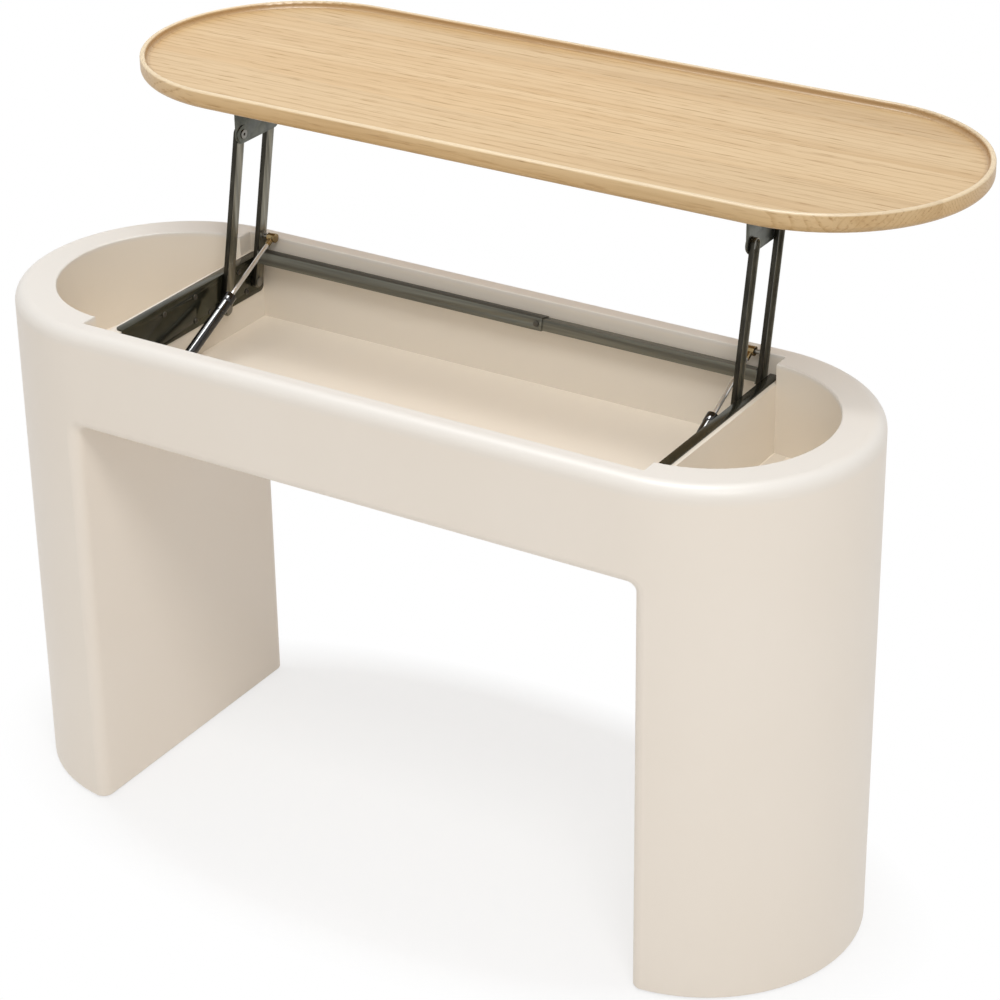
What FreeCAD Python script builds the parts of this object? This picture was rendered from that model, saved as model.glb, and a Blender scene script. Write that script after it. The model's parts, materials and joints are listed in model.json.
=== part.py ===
"""Lift-top console table: stadium carcass on two D-shaped legs, oak tray on a gas-sprung parallel-arm lift.

X runs along the table, +Y to its rear, +Z up. The origin is the centre of the footprint on the floor.
The tray stands raised, at the end of the lift. Closed, it lies on the rim straight above the carcass.
"""
import FreeCAD
import Part
import Sketcher
import math
import os
import re
from FreeCAD import Placement, Rotation, Vector

doc = FreeCAD.newDocument("LiftTopConsole")
sheet = doc.addObject("Spreadsheet::Sheet", "Sizes")
probe = doc.addObject("App::FeaturePython", "Probe")
probe.addProperty("App::PropertyFloat", "Number")

# Driving dimensions, in millimetres and degrees
SIZES = {
    # Carcass
    "body_length": 1250,  # length of carcass and tray
    "body_depth": 430,  # depth of carcass and tray, twice the end radius
    "closed_height": 750,  # floor to tray top, closed
    "apron_height": 141.5,  # rim down to the underside of the aprons
    "leg_width": 204,  # width of each leg along the table
    "side_wall": 31,  # thickness of the aprons
    "end_wall": 56,  # thickness of the rim round the end pockets
    "leg_wall": 25,  # thickness of the legs' curved wall
    "leg_panel": 18,  # thickness of the legs' flat inner wall
    "rim_round": 18,  # rounding of the rim's outer edge
    "rim_edge_round": 2,  # rounding of the rim's inner edge
    "knee_edge_round": 15,  # rounding of the edges round the knee space
    "knee_corner_round": 10,  # rounding where legs and aprons meet
    "foot_round": 3,  # rounding of the legs' lower edge
    "floor_thickness": 7,  # thickness of the storage floors
    "floor_recess": 9,  # storage floor above the aprons' underside
    "base_plate_thickness": 12,  # thickness of the board that closes each leg
    "glide_height": 3,  # height of the glides
    "glide_diameter": 30,  # diameter of the glides
    "glide_inset": 45,  # glide centre to the leg's outer wall
    "divider_inset": 20,  # dividers in front of the legs' inner walls
    "divider_thickness": 18,  # thickness of the dividers
    "divider_drop": 29.5,  # rim down to the dividers' top edge
    # Tray
    "tray_thickness": 26,  # height of the tray's edge
    "closing_gap": 0.5,  # gap between rim and closed tray
    "tray_lip_width": 8,  # width of the tray's raised lip
    "tray_recess_depth": 9,  # depth of the tray's recess
    "tray_under_round": 9,  # rounding of the tray's lower edge
    "tray_lip_round": 3,  # rounding of the lip's outer edge
    "tray_cove": 5,  # rounding at the foot of the lip
    # Base rails
    "rail_length": 312,  # length of the base rails
    "rail_rear_gap": 2,  # rail end to rear apron
    "rail_gauge": 2,  # sheet thickness of rails and anchor plates
    "rail_web_height": 56,  # height of the rails' web
    "rail_flange_width": 14,  # width of the rails' top flange
    "rail_corner_round": 8,  # corner rounding of the rails
    "rail_lug_radius": 10,  # lug of the rail round the front pivot
    # Lift arms
    "arm_length": 248,  # pivot to pivot of all four arms
    "arm_lean": 11.5,  # degrees past upright when raised
    "arm_closed_rise": 7.2,  # degrees above level when closed
    "arm_width": 18,  # width of the arms' channel
    "arm_depth": 6.4,  # depth of the arms' channel
    "arm_gauge": 1.6,  # sheet thickness of the arms
    "arm_rail_gap": 1.6,  # arm to rail web
    "front_pivot_inset": 93,  # front base pivot to the rail's rear end
    "front_pivot_up": 5,  # front base pivot above the rail's lower edge
    "pivot_spacing": 72.5,  # front to rear pivot, along the table's depth
    "pivot_rise": 16,  # rear pivot above front pivot
    "pin_diameter": 8,  # pivot pins
    "pin_head_diameter": 13,  # heads of the pivot pins
    "pin_head_thickness": 1.5,  # thickness of the pivot pin heads
    "pin_eye_diameter": 4,  # hollow end of the upper pivot pins
    "running_clearance": 0.05,  # radial clearance of pins, ball and piston
    "side_clearance": 0.4,  # clearance beside the moving arms
    # Top brackets
    "bracket_gauge": 2,  # sheet thickness of the top brackets
    "bracket_lug_radius": 14,  # radius of the bracket's lower corners
    "bracket_boss_radius": 12.5,  # boss pressed out round the front pivot
    "bracket_boss_height": 1.8,  # height of that boss
    "bracket_flange_width": 18,  # width of the flange under the tray
    "bracket_tail": 14,  # flange length behind the rear pivot's lug
    # Cross tube
    "tube_along": 36.5,  # cross tube above the rear base pivots, along the arm
    "tube_side": 18,  # outside of the square outer tube
    "tube_wall": 1,  # wall of both tubes
    "tube_slide_gap": 0.1,  # gap between outer and inner tube
    "tube_sleeve_end": 72,  # end of the outer tube, right of the centre
    "tube_engagement": 120,  # length of the inner tube inside the outer one
    "tube_foot_gauge": 2,  # thickness of the welded feet
    "tube_foot_margin": 1,  # feet beyond the tube
    "set_screw_diameter": 4,  # set screw of the cross tube
    "set_screw_inset": 8,  # set screw to the sleeve's end
    # Gas struts
    "strut_offset": 16.6,  # strut axis beside the arms
    "ball_along": 66,  # ball stud above the rear base pivot, along the arm
    "ball_back": 0.5,  # ball stud behind the arm's axis
    "ball_diameter": 10,  # ball of the stud
    "stud_neck_diameter": 6,  # neck of the ball stud
    "stud_flange_thickness": 2.5,  # flange of the ball stud
    "ear_radius": 9,  # ear of the rear arm round the stud
    "anchor_inset": 233,  # lower strut anchor to the rail's rear end
    "anchor_above_floor": 14,  # lower strut anchor above the storage floor
    "socket_diameter": 13,  # brass socket round the ball
    "socket_width": 12,  # length of the socket along the stud
    "socket_reach": 15,  # ball centre to the socket's end on the rod
    "socket_neck_diameter": 8,  # shank of the socket
    "rod_diameter": 6,  # strut rod
    "rod_reach": 112.5,  # ball centre to the collar, raised
    "collar_diameter": 17,  # collar on the strut cylinder
    "collar_length": 14,  # length of the collar
    "cylinder_diameter": 16,  # strut cylinder
    "cylinder_wall": 1.5,  # wall of the strut cylinder
    "cylinder_end": 4,  # closed lower end of the strut cylinder
    "piston_length": 5,  # piston on the rod
    "piston_gap": 1,  # piston to collar, raised
    "fitting_reach": 20,  # lower anchor to the cylinder's end
    "eye_diameter": 16,  # eye at the strut's lower end
    "eye_width": 8,  # width of that eye
    "eye_stem_diameter": 6,  # stem of that eye
    "anchor_pin_diameter": 8,  # pin of the anchor plate
    "anchor_shoulder_diameter": 14,  # shoulder of that pin
    "anchor_plate_length": 50,  # length of the anchor plate
    "anchor_plate_height": 26,  # height of the anchor plate
    # Screws
    "screw_head_diameter": 8,  # pan heads
    "screw_head_height": 1,  # height of the pan heads
    "screw_shank_diameter": 4,  # screw shanks
    "screw_bite": 9,  # screw length in the wood
    "screw_row_margin": 10.5,  # screw rows to the rail's edges
    "upper_screw_rear": 55,  # upper rail screws from the rail's rear end: rear one
    "upper_screw_middle": 155,  # middle one
    "upper_screw_front": 223,  # front one
    "lower_screw_rear": 39,  # lower rail screws from the rail's rear end: rear one
    "lower_screw_middle": 123,  # middle one
    "lower_screw_front": 156,  # front one
}
for row, (alias, value) in enumerate(SIZES.items(), 1):
    sheet.set("A%d" % row, alias.replace("_", " "))
    sheet.set("B%d" % row, str(value))
    sheet.setAlias("B%d" % row, alias)
doc.recompute()

# Places worked out from the sizes
places = {
    "rim_height": "closed_height - tray_thickness - closing_gap",
    "knee_height": "rim_height - apron_height",
    "knee_half": "body_length / 2 - leg_width",
    "end_centre": "body_length / 2 - body_depth / 2",
    "floor_top": "knee_height + floor_recess + floor_thickness",
    "well_half_depth": "body_depth / 2 - side_wall",
    "pocket_radius": "body_depth / 2 - end_wall",
    "cavity_radius": "body_depth / 2 - leg_wall",
    "cavity_face": "knee_half + leg_panel",
    "divider_face": "knee_half - divider_inset",
    "divider_top": "rim_height - divider_drop",
    "well_half_length": "divider_face + divider_thickness",
    "apron_joint": "divider_face + divider_thickness / 2",
    "rail_face": "divider_face - rail_gauge",
    "rail_top": "divider_top + rail_gauge",
    "rail_bottom": "rail_top - rail_web_height",
    "rail_rear": "well_half_depth - rail_rear_gap",
    "rail_front": "rail_rear - rail_length",
    "arm_outer": "rail_face - arm_rail_gap",
    "arm_face": "arm_outer - arm_depth",
    "front_pivot_y": "rail_rear - front_pivot_inset",
    "front_pivot_z": "rail_bottom + front_pivot_up",
    "rear_pivot_y": "front_pivot_y + pivot_spacing",
    "rear_pivot_z": "front_pivot_z + pivot_rise",
    "front_top_y": "front_pivot_y + arm_length * sin(arm_lean)",
    "front_top_z": "front_pivot_z + arm_length * cos(arm_lean)",
    "rear_top_y": "front_top_y + pivot_spacing",
    "rear_top_z": "front_top_z + pivot_rise",
    "tray_shift": "arm_length * (sin(arm_lean) + cos(arm_closed_rise))",
    "tray_bottom": "rim_height + closing_gap + arm_length * (cos(arm_lean) - sin(arm_closed_rise))",
    "bracket_outer": "arm_face - side_clearance",
    "bracket_face": "bracket_outer - bracket_gauge",
    "bracket_front": "front_top_y - bracket_lug_radius",
    "bracket_rear": "rear_top_y + bracket_lug_radius + bracket_tail",
    "tube_hole": "tube_side - 2 * tube_wall",
    "inner_side": "tube_hole - 2 * tube_slide_gap",
    "strut_plane": "arm_face - strut_offset",
    "ball_y": "rear_pivot_y + ball_along * sin(arm_lean) + ball_back * cos(arm_lean)",
    "ball_z": "rear_pivot_z + ball_along * cos(arm_lean) - ball_back * sin(arm_lean)",
    "anchor_y": "rail_rear - anchor_inset",
    "anchor_z": "floor_top + anchor_above_floor",
    "strut_length": "sqrt((ball_y - anchor_y)^2 + (ball_z - anchor_z)^2)",
    "strut_cos": "(ball_y - anchor_y) / strut_length",
    "strut_sin": "(ball_z - anchor_z) / strut_length",
    "collar_end": "rod_reach + collar_length",
    "cylinder_low": "strut_length - fitting_reach",
    "piston_start": "collar_end + piston_gap",
    "plate_face": "divider_face - rail_gauge",
}


def expr(rule):
    """Writes out a rule's place names and points its size names at the sheet."""
    def word(found):
        name = found.group(0)
        if name in places:
            return "(" + expr(places[name]) + ")"
        if name in SIZES:
            return "Sizes." + name
        return name
    return re.sub(r"[a-z][a-z_]+", word, rule)


def number(rule):
    """The value of a rule now, for first guesses and for finding edges."""
    probe.setExpression("Number", expr(rule))
    probe.recompute()
    return probe.Number


def bind(thing, rules):
    """Binds properties of an object to rules, by name."""
    for name, rule in rules.items():
        thing.setExpression(name, expr(rule))
    return thing


# Sketches and features


def new_body(name):
    return doc.addObject("PartDesign::Body", name)


def new_sketch(body, plane, offset="0"):
    """A sketch on one of the body's own planes, moved along the plane's normal."""
    sketch = body.newObject("Sketcher::SketchObject", body.Name + "_sketch")
    support = [part for part in body.Origin.OriginFeatures if part.Role == plane][0]
    sketch.AttachmentSupport = (support, [""])
    sketch.MapMode = "FlatFace"
    return bind(sketch, {"AttachmentOffset.Base.z": offset})


def dimension(sketch, kind, where, rule):
    """A driving dimension of a sketch, bound to a rule."""
    index = sketch.addConstraint(Sketcher.Constraint(kind, *where, number(rule)))
    sketch.setExpression("Constraints[%d]" % index, expr(rule))


def fix_point(sketch, item, end, across, up):
    """Places one point of a sketch from the sketch's origin."""
    dimension(sketch, "DistanceX", (-1, 1, item, end), across)
    dimension(sketch, "DistanceY", (-1, 1, item, end), up)


def rectangle(sketch, left, right, low, high):
    x0, x1, y0, y1 = number(left), number(right), number(low), number(high)
    corners = [Vector(x0, y0, 0), Vector(x1, y0, 0), Vector(x1, y1, 0), Vector(x0, y1, 0)]
    first = sketch.GeometryCount
    for i in range(4):
        sketch.addGeometry(Part.LineSegment(corners[i], corners[(i + 1) % 4]))
    for i in range(4):
        sketch.addConstraint(Sketcher.Constraint("Coincident", first + i, 2, first + (i + 1) % 4, 1))
        sketch.addConstraint(Sketcher.Constraint(("Horizontal", "Vertical")[i % 2], first + i))
    fix_point(sketch, first, 1, left, low)
    fix_point(sketch, first + 2, 1, right, high)


def quad(sketch, corners):
    """A four-sided outline with its corners placed one by one."""
    first = sketch.GeometryCount
    points = [Vector(number(x), number(y), 0) for x, y in corners]
    for i in range(4):
        sketch.addGeometry(Part.LineSegment(points[i], points[(i + 1) % 4]))
    for i in range(4):
        sketch.addConstraint(Sketcher.Constraint("Coincident", first + i, 2, first + (i + 1) % 4, 1))
    for i in range(4):
        fix_point(sketch, first + i, 1, *corners[i])


def circle(sketch, across, up, radius):
    centre = Vector(number(across), number(up), 0)
    item = sketch.addGeometry(Part.Circle(centre, Vector(0, 0, 1), number(radius)))
    dimension(sketch, "Radius", (item,), radius)
    fix_point(sketch, item, 3, across, up)


def slot(sketch, start, end, radius):
    """A slot outline round two centres."""
    p = Vector(number(start[0]), number(start[1]), 0)
    q = Vector(number(end[0]), number(end[1]), 0)
    r = number(radius)
    turn = math.atan2(q.y - p.y, q.x - p.x)
    side = Vector(-math.sin(turn), math.cos(turn), 0) * r
    half = math.pi / 2
    first = sketch.GeometryCount
    sketch.addGeometry(Part.LineSegment(p + side, q + side))
    sketch.addGeometry(Part.ArcOfCircle(Part.Circle(q, Vector(0, 0, 1), r), turn - half, turn + half))
    sketch.addGeometry(Part.LineSegment(q - side, p - side))
    sketch.addGeometry(Part.ArcOfCircle(Part.Circle(p, Vector(0, 0, 1), r), turn + half, turn + 3 * half))
    joins = [(0, 2, 1, 2), (1, 1, 2, 1), (2, 2, 3, 2), (3, 1, 0, 1)]
    for a, a_end, b, b_end in joins:
        sketch.addConstraint(Sketcher.Constraint("Tangent", first + a, a_end, first + b, b_end))
    sketch.addConstraint(Sketcher.Constraint("Equal", first + 1, first + 3))
    dimension(sketch, "Radius", (first + 1,), radius)
    fix_point(sketch, first + 3, 3, *start)
    fix_point(sketch, first + 1, 3, *end)


def dee(sketch, side, centre, radius, chord):
    """A circle round (side * centre, 0) cut off straight at side * chord, on the table's inner side."""
    c, r = side * number(centre), number(radius)
    x = side * number(chord)
    y = math.sqrt(r * r - (x - c) ** 2)
    reach = math.atan2(y, abs(x) - abs(c))
    middle = 0 if side > 0 else math.pi
    first = sketch.GeometryCount
    rim = Part.Circle(Vector(c, 0, 0), Vector(0, 0, 1), r)
    sketch.addGeometry(Part.ArcOfCircle(rim, middle - reach, middle + reach))
    sketch.addGeometry(Part.LineSegment(Vector(x, side * y, 0), Vector(x, -side * y, 0)))
    sketch.addConstraint(Sketcher.Constraint("Coincident", first, 2, first + 1, 1))
    sketch.addConstraint(Sketcher.Constraint("Coincident", first + 1, 2, first, 1))
    sketch.addConstraint(Sketcher.Constraint("Vertical", first + 1))
    sketch.addConstraint(Sketcher.Constraint("PointOnObject", first, 3, -1))
    dimension(sketch, "Radius", (first,), radius)
    sign = "" if side > 0 else "-"
    dimension(sketch, "DistanceX", (-1, 1, first, 3), sign + centre)
    dimension(sketch, "DistanceX", (-1, 1, first + 1, 1), sign + chord)


def pad(body, sketch, length):
    feature = body.newObject("PartDesign::Pad", body.Name + "_pad")
    feature.Profile = sketch
    bind(feature, {"Length": length})
    doc.recompute()
    return feature


def pocket(body, sketch, depth=None, upward=False, both=False):
    """A pocket against the sketch's normal, or along it; without a depth it goes right through."""
    before = body.Shape.Volume
    feature = body.newObject("PartDesign::Pocket", body.Name + "_pocket")
    feature.Profile = sketch
    feature.Reversed = upward
    feature.Midplane = both
    if depth is None:
        feature.Type = 1
    else:
        bind(feature, {"Length": depth})
    doc.recompute()
    if body.Shape.Volume > before - 1e-6:
        raise RuntimeError(body.Name + ": a pocket cuts nothing")
    return feature


def samples(edge):
    """Start, middle and end of an edge."""
    a, b = edge.ParameterRange
    return [edge.valueAt(a), edge.valueAt((a + b) / 2), edge.valueAt(b)]


def fillet(body, radius, wanted):
    """Rounds every edge of the body whose sample points all pass a test."""
    base = body.Tip
    shape = base.Shape
    names = ["Edge%d" % (i + 1) for i, e in enumerate(shape.Edges) if wanted(samples(e))]
    if not names:
        raise RuntimeError(body.Name + ": no edge to round")
    feature = body.newObject("PartDesign::Fillet", body.Name + "_fillet")
    feature.Base = (base, names)
    bind(feature, {"Radius": radius})
    doc.recompute()
    return feature


def same(a, b):
    return abs(a - b) < 1e-3


def place(thing, across, back, up, axis=None, turn=None):
    """Binds an object's place and, where it is turned, its turn in degrees about an axis."""
    if axis:
        thing.Placement = Placement(Vector(0, 0, 0), Rotation(Vector(*axis), 1))
        bind(thing, {"Placement.Rotation.Angle": turn})
    rules = {"Placement.Base.x": across, "Placement.Base.y": back, "Placement.Base.z": up}
    return bind(thing, rules)


# Plain solids


def block(name, left, right, front, rear, low, high):
    box = doc.addObject("Part::Box", name)
    sides = {"Length": (left, right), "Width": (front, rear), "Height": (low, high)}
    bind(box, {side: "(%s) - (%s)" % (b, a) for side, (a, b) in sides.items()})
    return place(box, left, front, low)


def round_x(name, left, right, back, up, diameter):
    """A round bar along X."""
    bar = doc.addObject("Part::Cylinder", name)
    bind(bar, {"Radius": "(%s) / 2" % diameter, "Height": "(%s) - (%s)" % (right, left)})
    return place(bar, left, back, up, (0, 1, 0), "90")


def round_z(name, across, back, low, high, diameter):
    """A round bar along Z."""
    bar = doc.addObject("Part::Cylinder", name)
    bind(bar, {"Radius": "(%s) / 2" % diameter, "Height": "(%s) - (%s)" % (high, low)})
    return place(bar, across, back, low)


def strut_bar(name, start, end, diameter):
    """A round bar on the strut's axis, measured down from the ball."""
    bar = doc.addObject("Part::Cylinder", name)
    bind(bar, {"Radius": "(%s) / 2" % diameter, "Height": "(%s) - (%s)" % (end, start)})
    back = "ball_y - strut_cos * (%s)" % start
    up = "ball_z - strut_sin * (%s)" % start
    tilt = "90 deg + atan2(strut_sin; strut_cos)"
    return place(bar, "strut_plane", back, up, (1, 0, 0), tilt)


def fuse(name, pieces):
    joined = doc.addObject("Part::MultiFuse", name)
    joined.Shapes = pieces
    joined.Refine = True
    return joined


def cut(name, base, tool):
    result = doc.addObject("Part::Cut", name)
    result.Base = base
    result.Tool = tool
    return result


def common(name, base, tool):
    result = doc.addObject("Part::Common", name)
    result.Base = base
    result.Tool = tool
    return result


def group(name, pieces):
    joined = doc.addObject("Part::Compound", name)
    joined.Links = pieces
    return joined


def mirrored(name, source):
    """The left-hand twin of a right-hand piece."""
    twin = doc.addObject("Part::Mirroring", name)
    twin.Source = source
    twin.Normal = (1, 0, 0)
    return twin


nodes = {}


def keep(label, thing):
    thing.Label = label
    nodes[label] = thing
    return thing


def keep_pair(label, right):
    """Keeps a right-hand piece and its left-hand twin."""
    keep("right_" + label, right)
    keep("left_" + label, mirrored("Left_" + label, right))


# Carcass: one lacquered form, made of two end columns and two aprons


def on_outline(point):
    """True on the stadium's outer wall."""
    c = number("end_centre")
    x = min(max(point.x, -c), c)
    return same(math.hypot(point.x - x, point.y), number("body_depth / 2"))


def make_carcass():
    body = new_body("Carcass")
    outline = new_sketch(body, "XY_Plane", "glide_height")
    slot(outline, ("-end_centre", "0"), ("end_centre", "0"), "body_depth / 2")
    pad(body, outline, "rim_height - glide_height")

    knee = new_sketch(body, "XZ_Plane")
    rectangle(knee, "-knee_half", "knee_half", "0", "knee_height")
    pocket(body, knee, both=True)
    well = new_sketch(body, "XY_Plane", "rim_height")
    rectangle(well, "-well_half_length", "well_half_length", "-well_half_depth", "well_half_depth")
    pocket(body, well, "rim_height - floor_top")
    floor_seat = new_sketch(body, "XY_Plane", "floor_top")
    rectangle(floor_seat, "-knee_half", "knee_half", "-well_half_depth", "well_half_depth")
    pocket(body, floor_seat)
    pockets = new_sketch(body, "XY_Plane", "rim_height")
    slot(pockets, ("-end_centre", "0"), ("end_centre", "0"), "pocket_radius")
    pocket(body, pockets, "rim_height - floor_top")
    cavity = new_sketch(body, "XY_Plane", "glide_height")
    for side in (1, -1):
        dee(cavity, side, "end_centre", "cavity_radius", "cavity_face")
    pocket(body, cavity, "floor_top - glide_height", upward=True)

    knee_x, knee_z = number("knee_half"), number("knee_height")
    low, rim = number("glide_height"), number("rim_height")
    seam = number("end_centre")

    def knee_corner(points):
        return all(same(abs(p.x), knee_x) and same(p.z, knee_z) for p in points)

    def knee_edge(points):
        inside = all(on_outline(p) and p.z < rim - 1 for p in points)
        upright = same(points[0].x, points[2].x)
        return inside and not (upright and same(abs(points[0].x), seam)) and points[1].z > low + 1

    def rim_edge(points):
        return all(same(p.z, rim) and on_outline(p) for p in points)

    def rim_inner_edge(points):
        return all(same(p.z, rim) for p in points) and not rim_outer_line(points[1])

    def rim_outer_line(point):
        x = min(max(point.x, -seam), seam)
        return math.hypot(point.x - x, point.y) > number("body_depth / 2 - rim_round") - 1e-3

    def foot_edge(points):
        return all(same(p.z, low) for p in points) and not cavity_line(points[1])

    def cavity_line(point):
        return abs(point.x) > knee_x + 1 and not foot_wall(point)

    def foot_wall(point):
        x = min(max(point.x, -seam), seam)
        return math.hypot(point.x - x, point.y) > number("cavity_radius") + 1

    fillet(body, "knee_corner_round", knee_corner)
    fillet(body, "knee_edge_round", knee_edge)
    fillet(body, "rim_round", rim_edge)
    fillet(body, "rim_edge_round", rim_inner_edge)
    fillet(body, "foot_round", foot_edge)

    # The joints between columns and aprons lie behind the dividers
    reach, deep, high = "body_length", "body_depth", "closed_height"
    right = block("Right_end", "apron_joint", reach, "-" + deep, deep, "0", high)
    left = block("Left_end", "-" + reach, "-apron_joint", "-" + deep, deep, "0", high)
    front = block("Front_half", "-apron_joint", "apron_joint", "-" + deep, "0", "0", high)
    rear = block("Rear_half", "-apron_joint", "apron_joint", "0", deep, "0", high)
    keep("right_end_shell", common("Right_end_shell", body, right))
    keep("left_end_shell", common("Left_end_shell", body, left))
    keep("front_apron", common("Front_apron", body, front))
    keep("rear_apron", common("Rear_apron", body, rear))


def dee_board(name, low, high):
    """A board that fills the right leg's cavity between two heights."""
    body = new_body(name)
    outline = new_sketch(body, "XY_Plane", low)
    dee(outline, 1, "end_centre", "cavity_radius", "cavity_face")
    pad(body, outline, "(%s) - (%s)" % (high, low))
    return body


def make_boards():
    half = "knee_half"
    low = "knee_height + floor_recess"
    floor = block("Floor", "-" + half, half, "-well_half_depth", "well_half_depth", low, "floor_top")
    keep("storage_floor", floor)
    keep_pair("pocket_floor", dee_board("Pocket_floor", low, "floor_top"))
    top = "glide_height + base_plate_thickness"
    keep_pair("leg_base", dee_board("Leg_base", "glide_height", top))
    glides = []
    outer = "end_centre + body_depth / 2 - glide_inset"
    inner = "cavity_face + glide_diameter"
    beside = "body_depth / 2 - glide_inset - glide_diameter"
    spots = [(outer, "0"), (inner, beside), (inner, "-(%s)" % beside)]
    for i, (across, back) in enumerate(spots):
        for side in ("", "-"):
            name = "Glide_%d" % len(glides)
            glides.append(round_z(name, "%s(%s)" % (side, across), back, "0", "glide_height", "glide_diameter"))
    keep("glides", group("Glides", glides))


# Base rails on the dividers


def rail_screw_spots():
    rows = {"upper": "rail_top - screw_row_margin", "lower": "rail_bottom + screw_row_margin"}
    for row, up in rows.items():
        for spot in ("rear", "middle", "front"):
            yield "rail_rear - %s_screw_%s" % (row, spot), up


def anchor_screw_spots():
    for side in ("-", "+"):
        yield "anchor_y %s (anchor_plate_length / 2 - screw_row_margin)" % side, "anchor_z"


def base_pivots():
    yield "front_pivot_y", "front_pivot_z"
    yield "rear_pivot_y", "rear_pivot_z"


def make_rail():
    body = new_body("Rail")
    web = new_sketch(body, "YZ_Plane", "rail_face")
    rectangle(web, "rail_front", "rail_rear", "rail_bottom", "rail_top")
    pad(body, web, "rail_gauge")
    lug = new_sketch(body, "YZ_Plane", "rail_face")
    circle(lug, "front_pivot_y", "front_pivot_z", "rail_lug_radius")
    pad(body, lug, "rail_gauge")
    flange = new_sketch(body, "XY_Plane", "divider_top")
    rectangle(flange, "rail_face", "rail_face + rail_flange_width", "rail_front", "rail_rear")
    pad(body, flange, "rail_gauge")
    holes = new_sketch(body, "YZ_Plane", "divider_face")
    for back, up in base_pivots():
        circle(holes, back, up, "pin_diameter / 2")
    for back, up in rail_screw_spots():
        circle(holes, back, up, "screw_shank_diameter / 2")
    pocket(body, holes)
    low, edge = number("rail_bottom"), number("rail_face + rail_flange_width")
    ends = number("rail_front"), number("rail_rear")

    def corner(points):
        at_end = any(all(same(p.y, end) for p in points) for end in ends)
        lower = all(same(p.z, low) for p in points)
        outer = all(same(p.x, edge) for p in points)
        return at_end and (lower or outer)

    fillet(body, "rail_corner_round", corner)
    return body


def wood_screw(name, face, back, up):
    """A pan-head screw through sheet steel into a divider."""
    head = round_x(name + "_head", face + " - screw_head_height", face, back, up, "screw_head_diameter")
    shank = round_x(name + "_shank", face, "divider_face + screw_bite", back, up, "screw_shank_diameter")
    return fuse(name, [head, shank])


def make_divider(screw_spots):
    front, rear = "-well_half_depth", "well_half_depth"
    outer = "divider_face + divider_thickness"
    board = block("Divider_board", "divider_face", outer, front, rear, "floor_top", "divider_top")
    holes = []
    for i, (back, up) in enumerate(screw_spots):
        name = "Divider_hole_%d" % i
        holes.append(round_x(name, "divider_face", "divider_face + screw_bite", back, up, "screw_shank_diameter"))
    return cut("Divider", board, fuse("Divider_holes", holes))


def make_anchor_plate():
    """Plate low on the divider, with the pin that the strut's lower eye faces."""
    half, tall = "anchor_plate_length / 2", "anchor_plate_height / 2"
    front, rear = "anchor_y - " + half, "anchor_y + " + half
    sheet_metal = block("Anchor_sheet", "plate_face", "divider_face", front, rear,
                        "anchor_z - " + tall, "anchor_z + " + tall)
    holes = []
    for i, (back, up) in enumerate(anchor_screw_spots()):
        name = "Anchor_hole_%d" % i
        holes.append(round_x(name, "plate_face", "divider_face", back, up, "screw_shank_diameter"))
    drilled = cut("Anchor_drilled", sheet_metal, fuse("Anchor_holes", holes))
    tip = "strut_plane + eye_width / 2 + side_clearance"
    pin = round_x("Anchor_pin", tip, "plate_face", "anchor_y", "anchor_z", "anchor_pin_diameter")
    collar = round_x("Anchor_shoulder", "plate_face - rail_gauge", "plate_face", "anchor_y", "anchor_z",
                     "anchor_shoulder_diameter")
    return fuse("Anchor_plate", [drilled, pin, collar])


def base_pin(name, back, up):
    """A pivot pin riveted in the rail: head, shank and the spacer that fills the arm's channel."""
    head_end = "arm_face - side_clearance"
    head = round_x(name + "_head", head_end + " - pin_head_thickness", head_end, back, up, "pin_head_diameter")
    shank = round_x(name + "_shank", head_end, "divider_face", back, up, "pin_diameter")
    start = "arm_face + arm_gauge + side_clearance"
    spacer = round_x(name + "_spacer", start, "rail_face", back, up, "pin_diameter + arm_gauge * 2")
    return fuse(name, [head, shank, spacer])


def make_rails():
    keep_pair("base_rail", make_rail())
    keep_pair("divider", make_divider(list(rail_screw_spots()) + list(anchor_screw_spots())))
    keep_pair("anchor_plate", make_anchor_plate())
    right = []
    for back, up in rail_screw_spots():
        right.append(wood_screw("Rail_screw_%d" % len(right), "rail_face", back, up))
    for back, up in anchor_screw_spots():
        right.append(wood_screw("Anchor_screw_%d" % len(right), "plate_face", back, up))
    rail_group = group("Right_rail_screws", right)
    keep_pair("rail_screws", rail_group)
    pins = [base_pin("Base_pin_%d" % i, *spot) for i, spot in enumerate(base_pivots())]
    keep_pair("base_pins", group("Right_base_pins", pins))


# Lift arms: pressed channels with round ends, open towards the rail


def make_arm(name, pivot_y, pivot_z, ear):
    body = new_body(name)
    place(body, "0", pivot_y, pivot_z, (1, 0, 0), "-arm_lean")
    ends = (("0", "0"), ("0", "arm_length"))
    outline = new_sketch(body, "YZ_Plane", "arm_face")
    slot(outline, *ends, "arm_width / 2")
    pad(body, outline, "arm_depth")
    hollow = new_sketch(body, "YZ_Plane", "arm_outer")
    slot(hollow, *ends, "arm_width / 2 - arm_gauge")
    pocket(body, hollow, "arm_depth - arm_gauge")
    if ear:
        tab = new_sketch(body, "YZ_Plane", "arm_face")
        slot(tab, ("0", "ball_along"), ("ball_back", "ball_along"), "ear_radius")
        pad(body, tab, "arm_gauge")
    holes = new_sketch(body, "YZ_Plane", "arm_outer")
    for spot in ends:
        circle(holes, *spot, "pin_diameter / 2 + running_clearance")
    if ear:
        circle(holes, "ball_back", "ball_along", "stud_neck_diameter / 2")
    pocket(body, holes)
    return body


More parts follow.
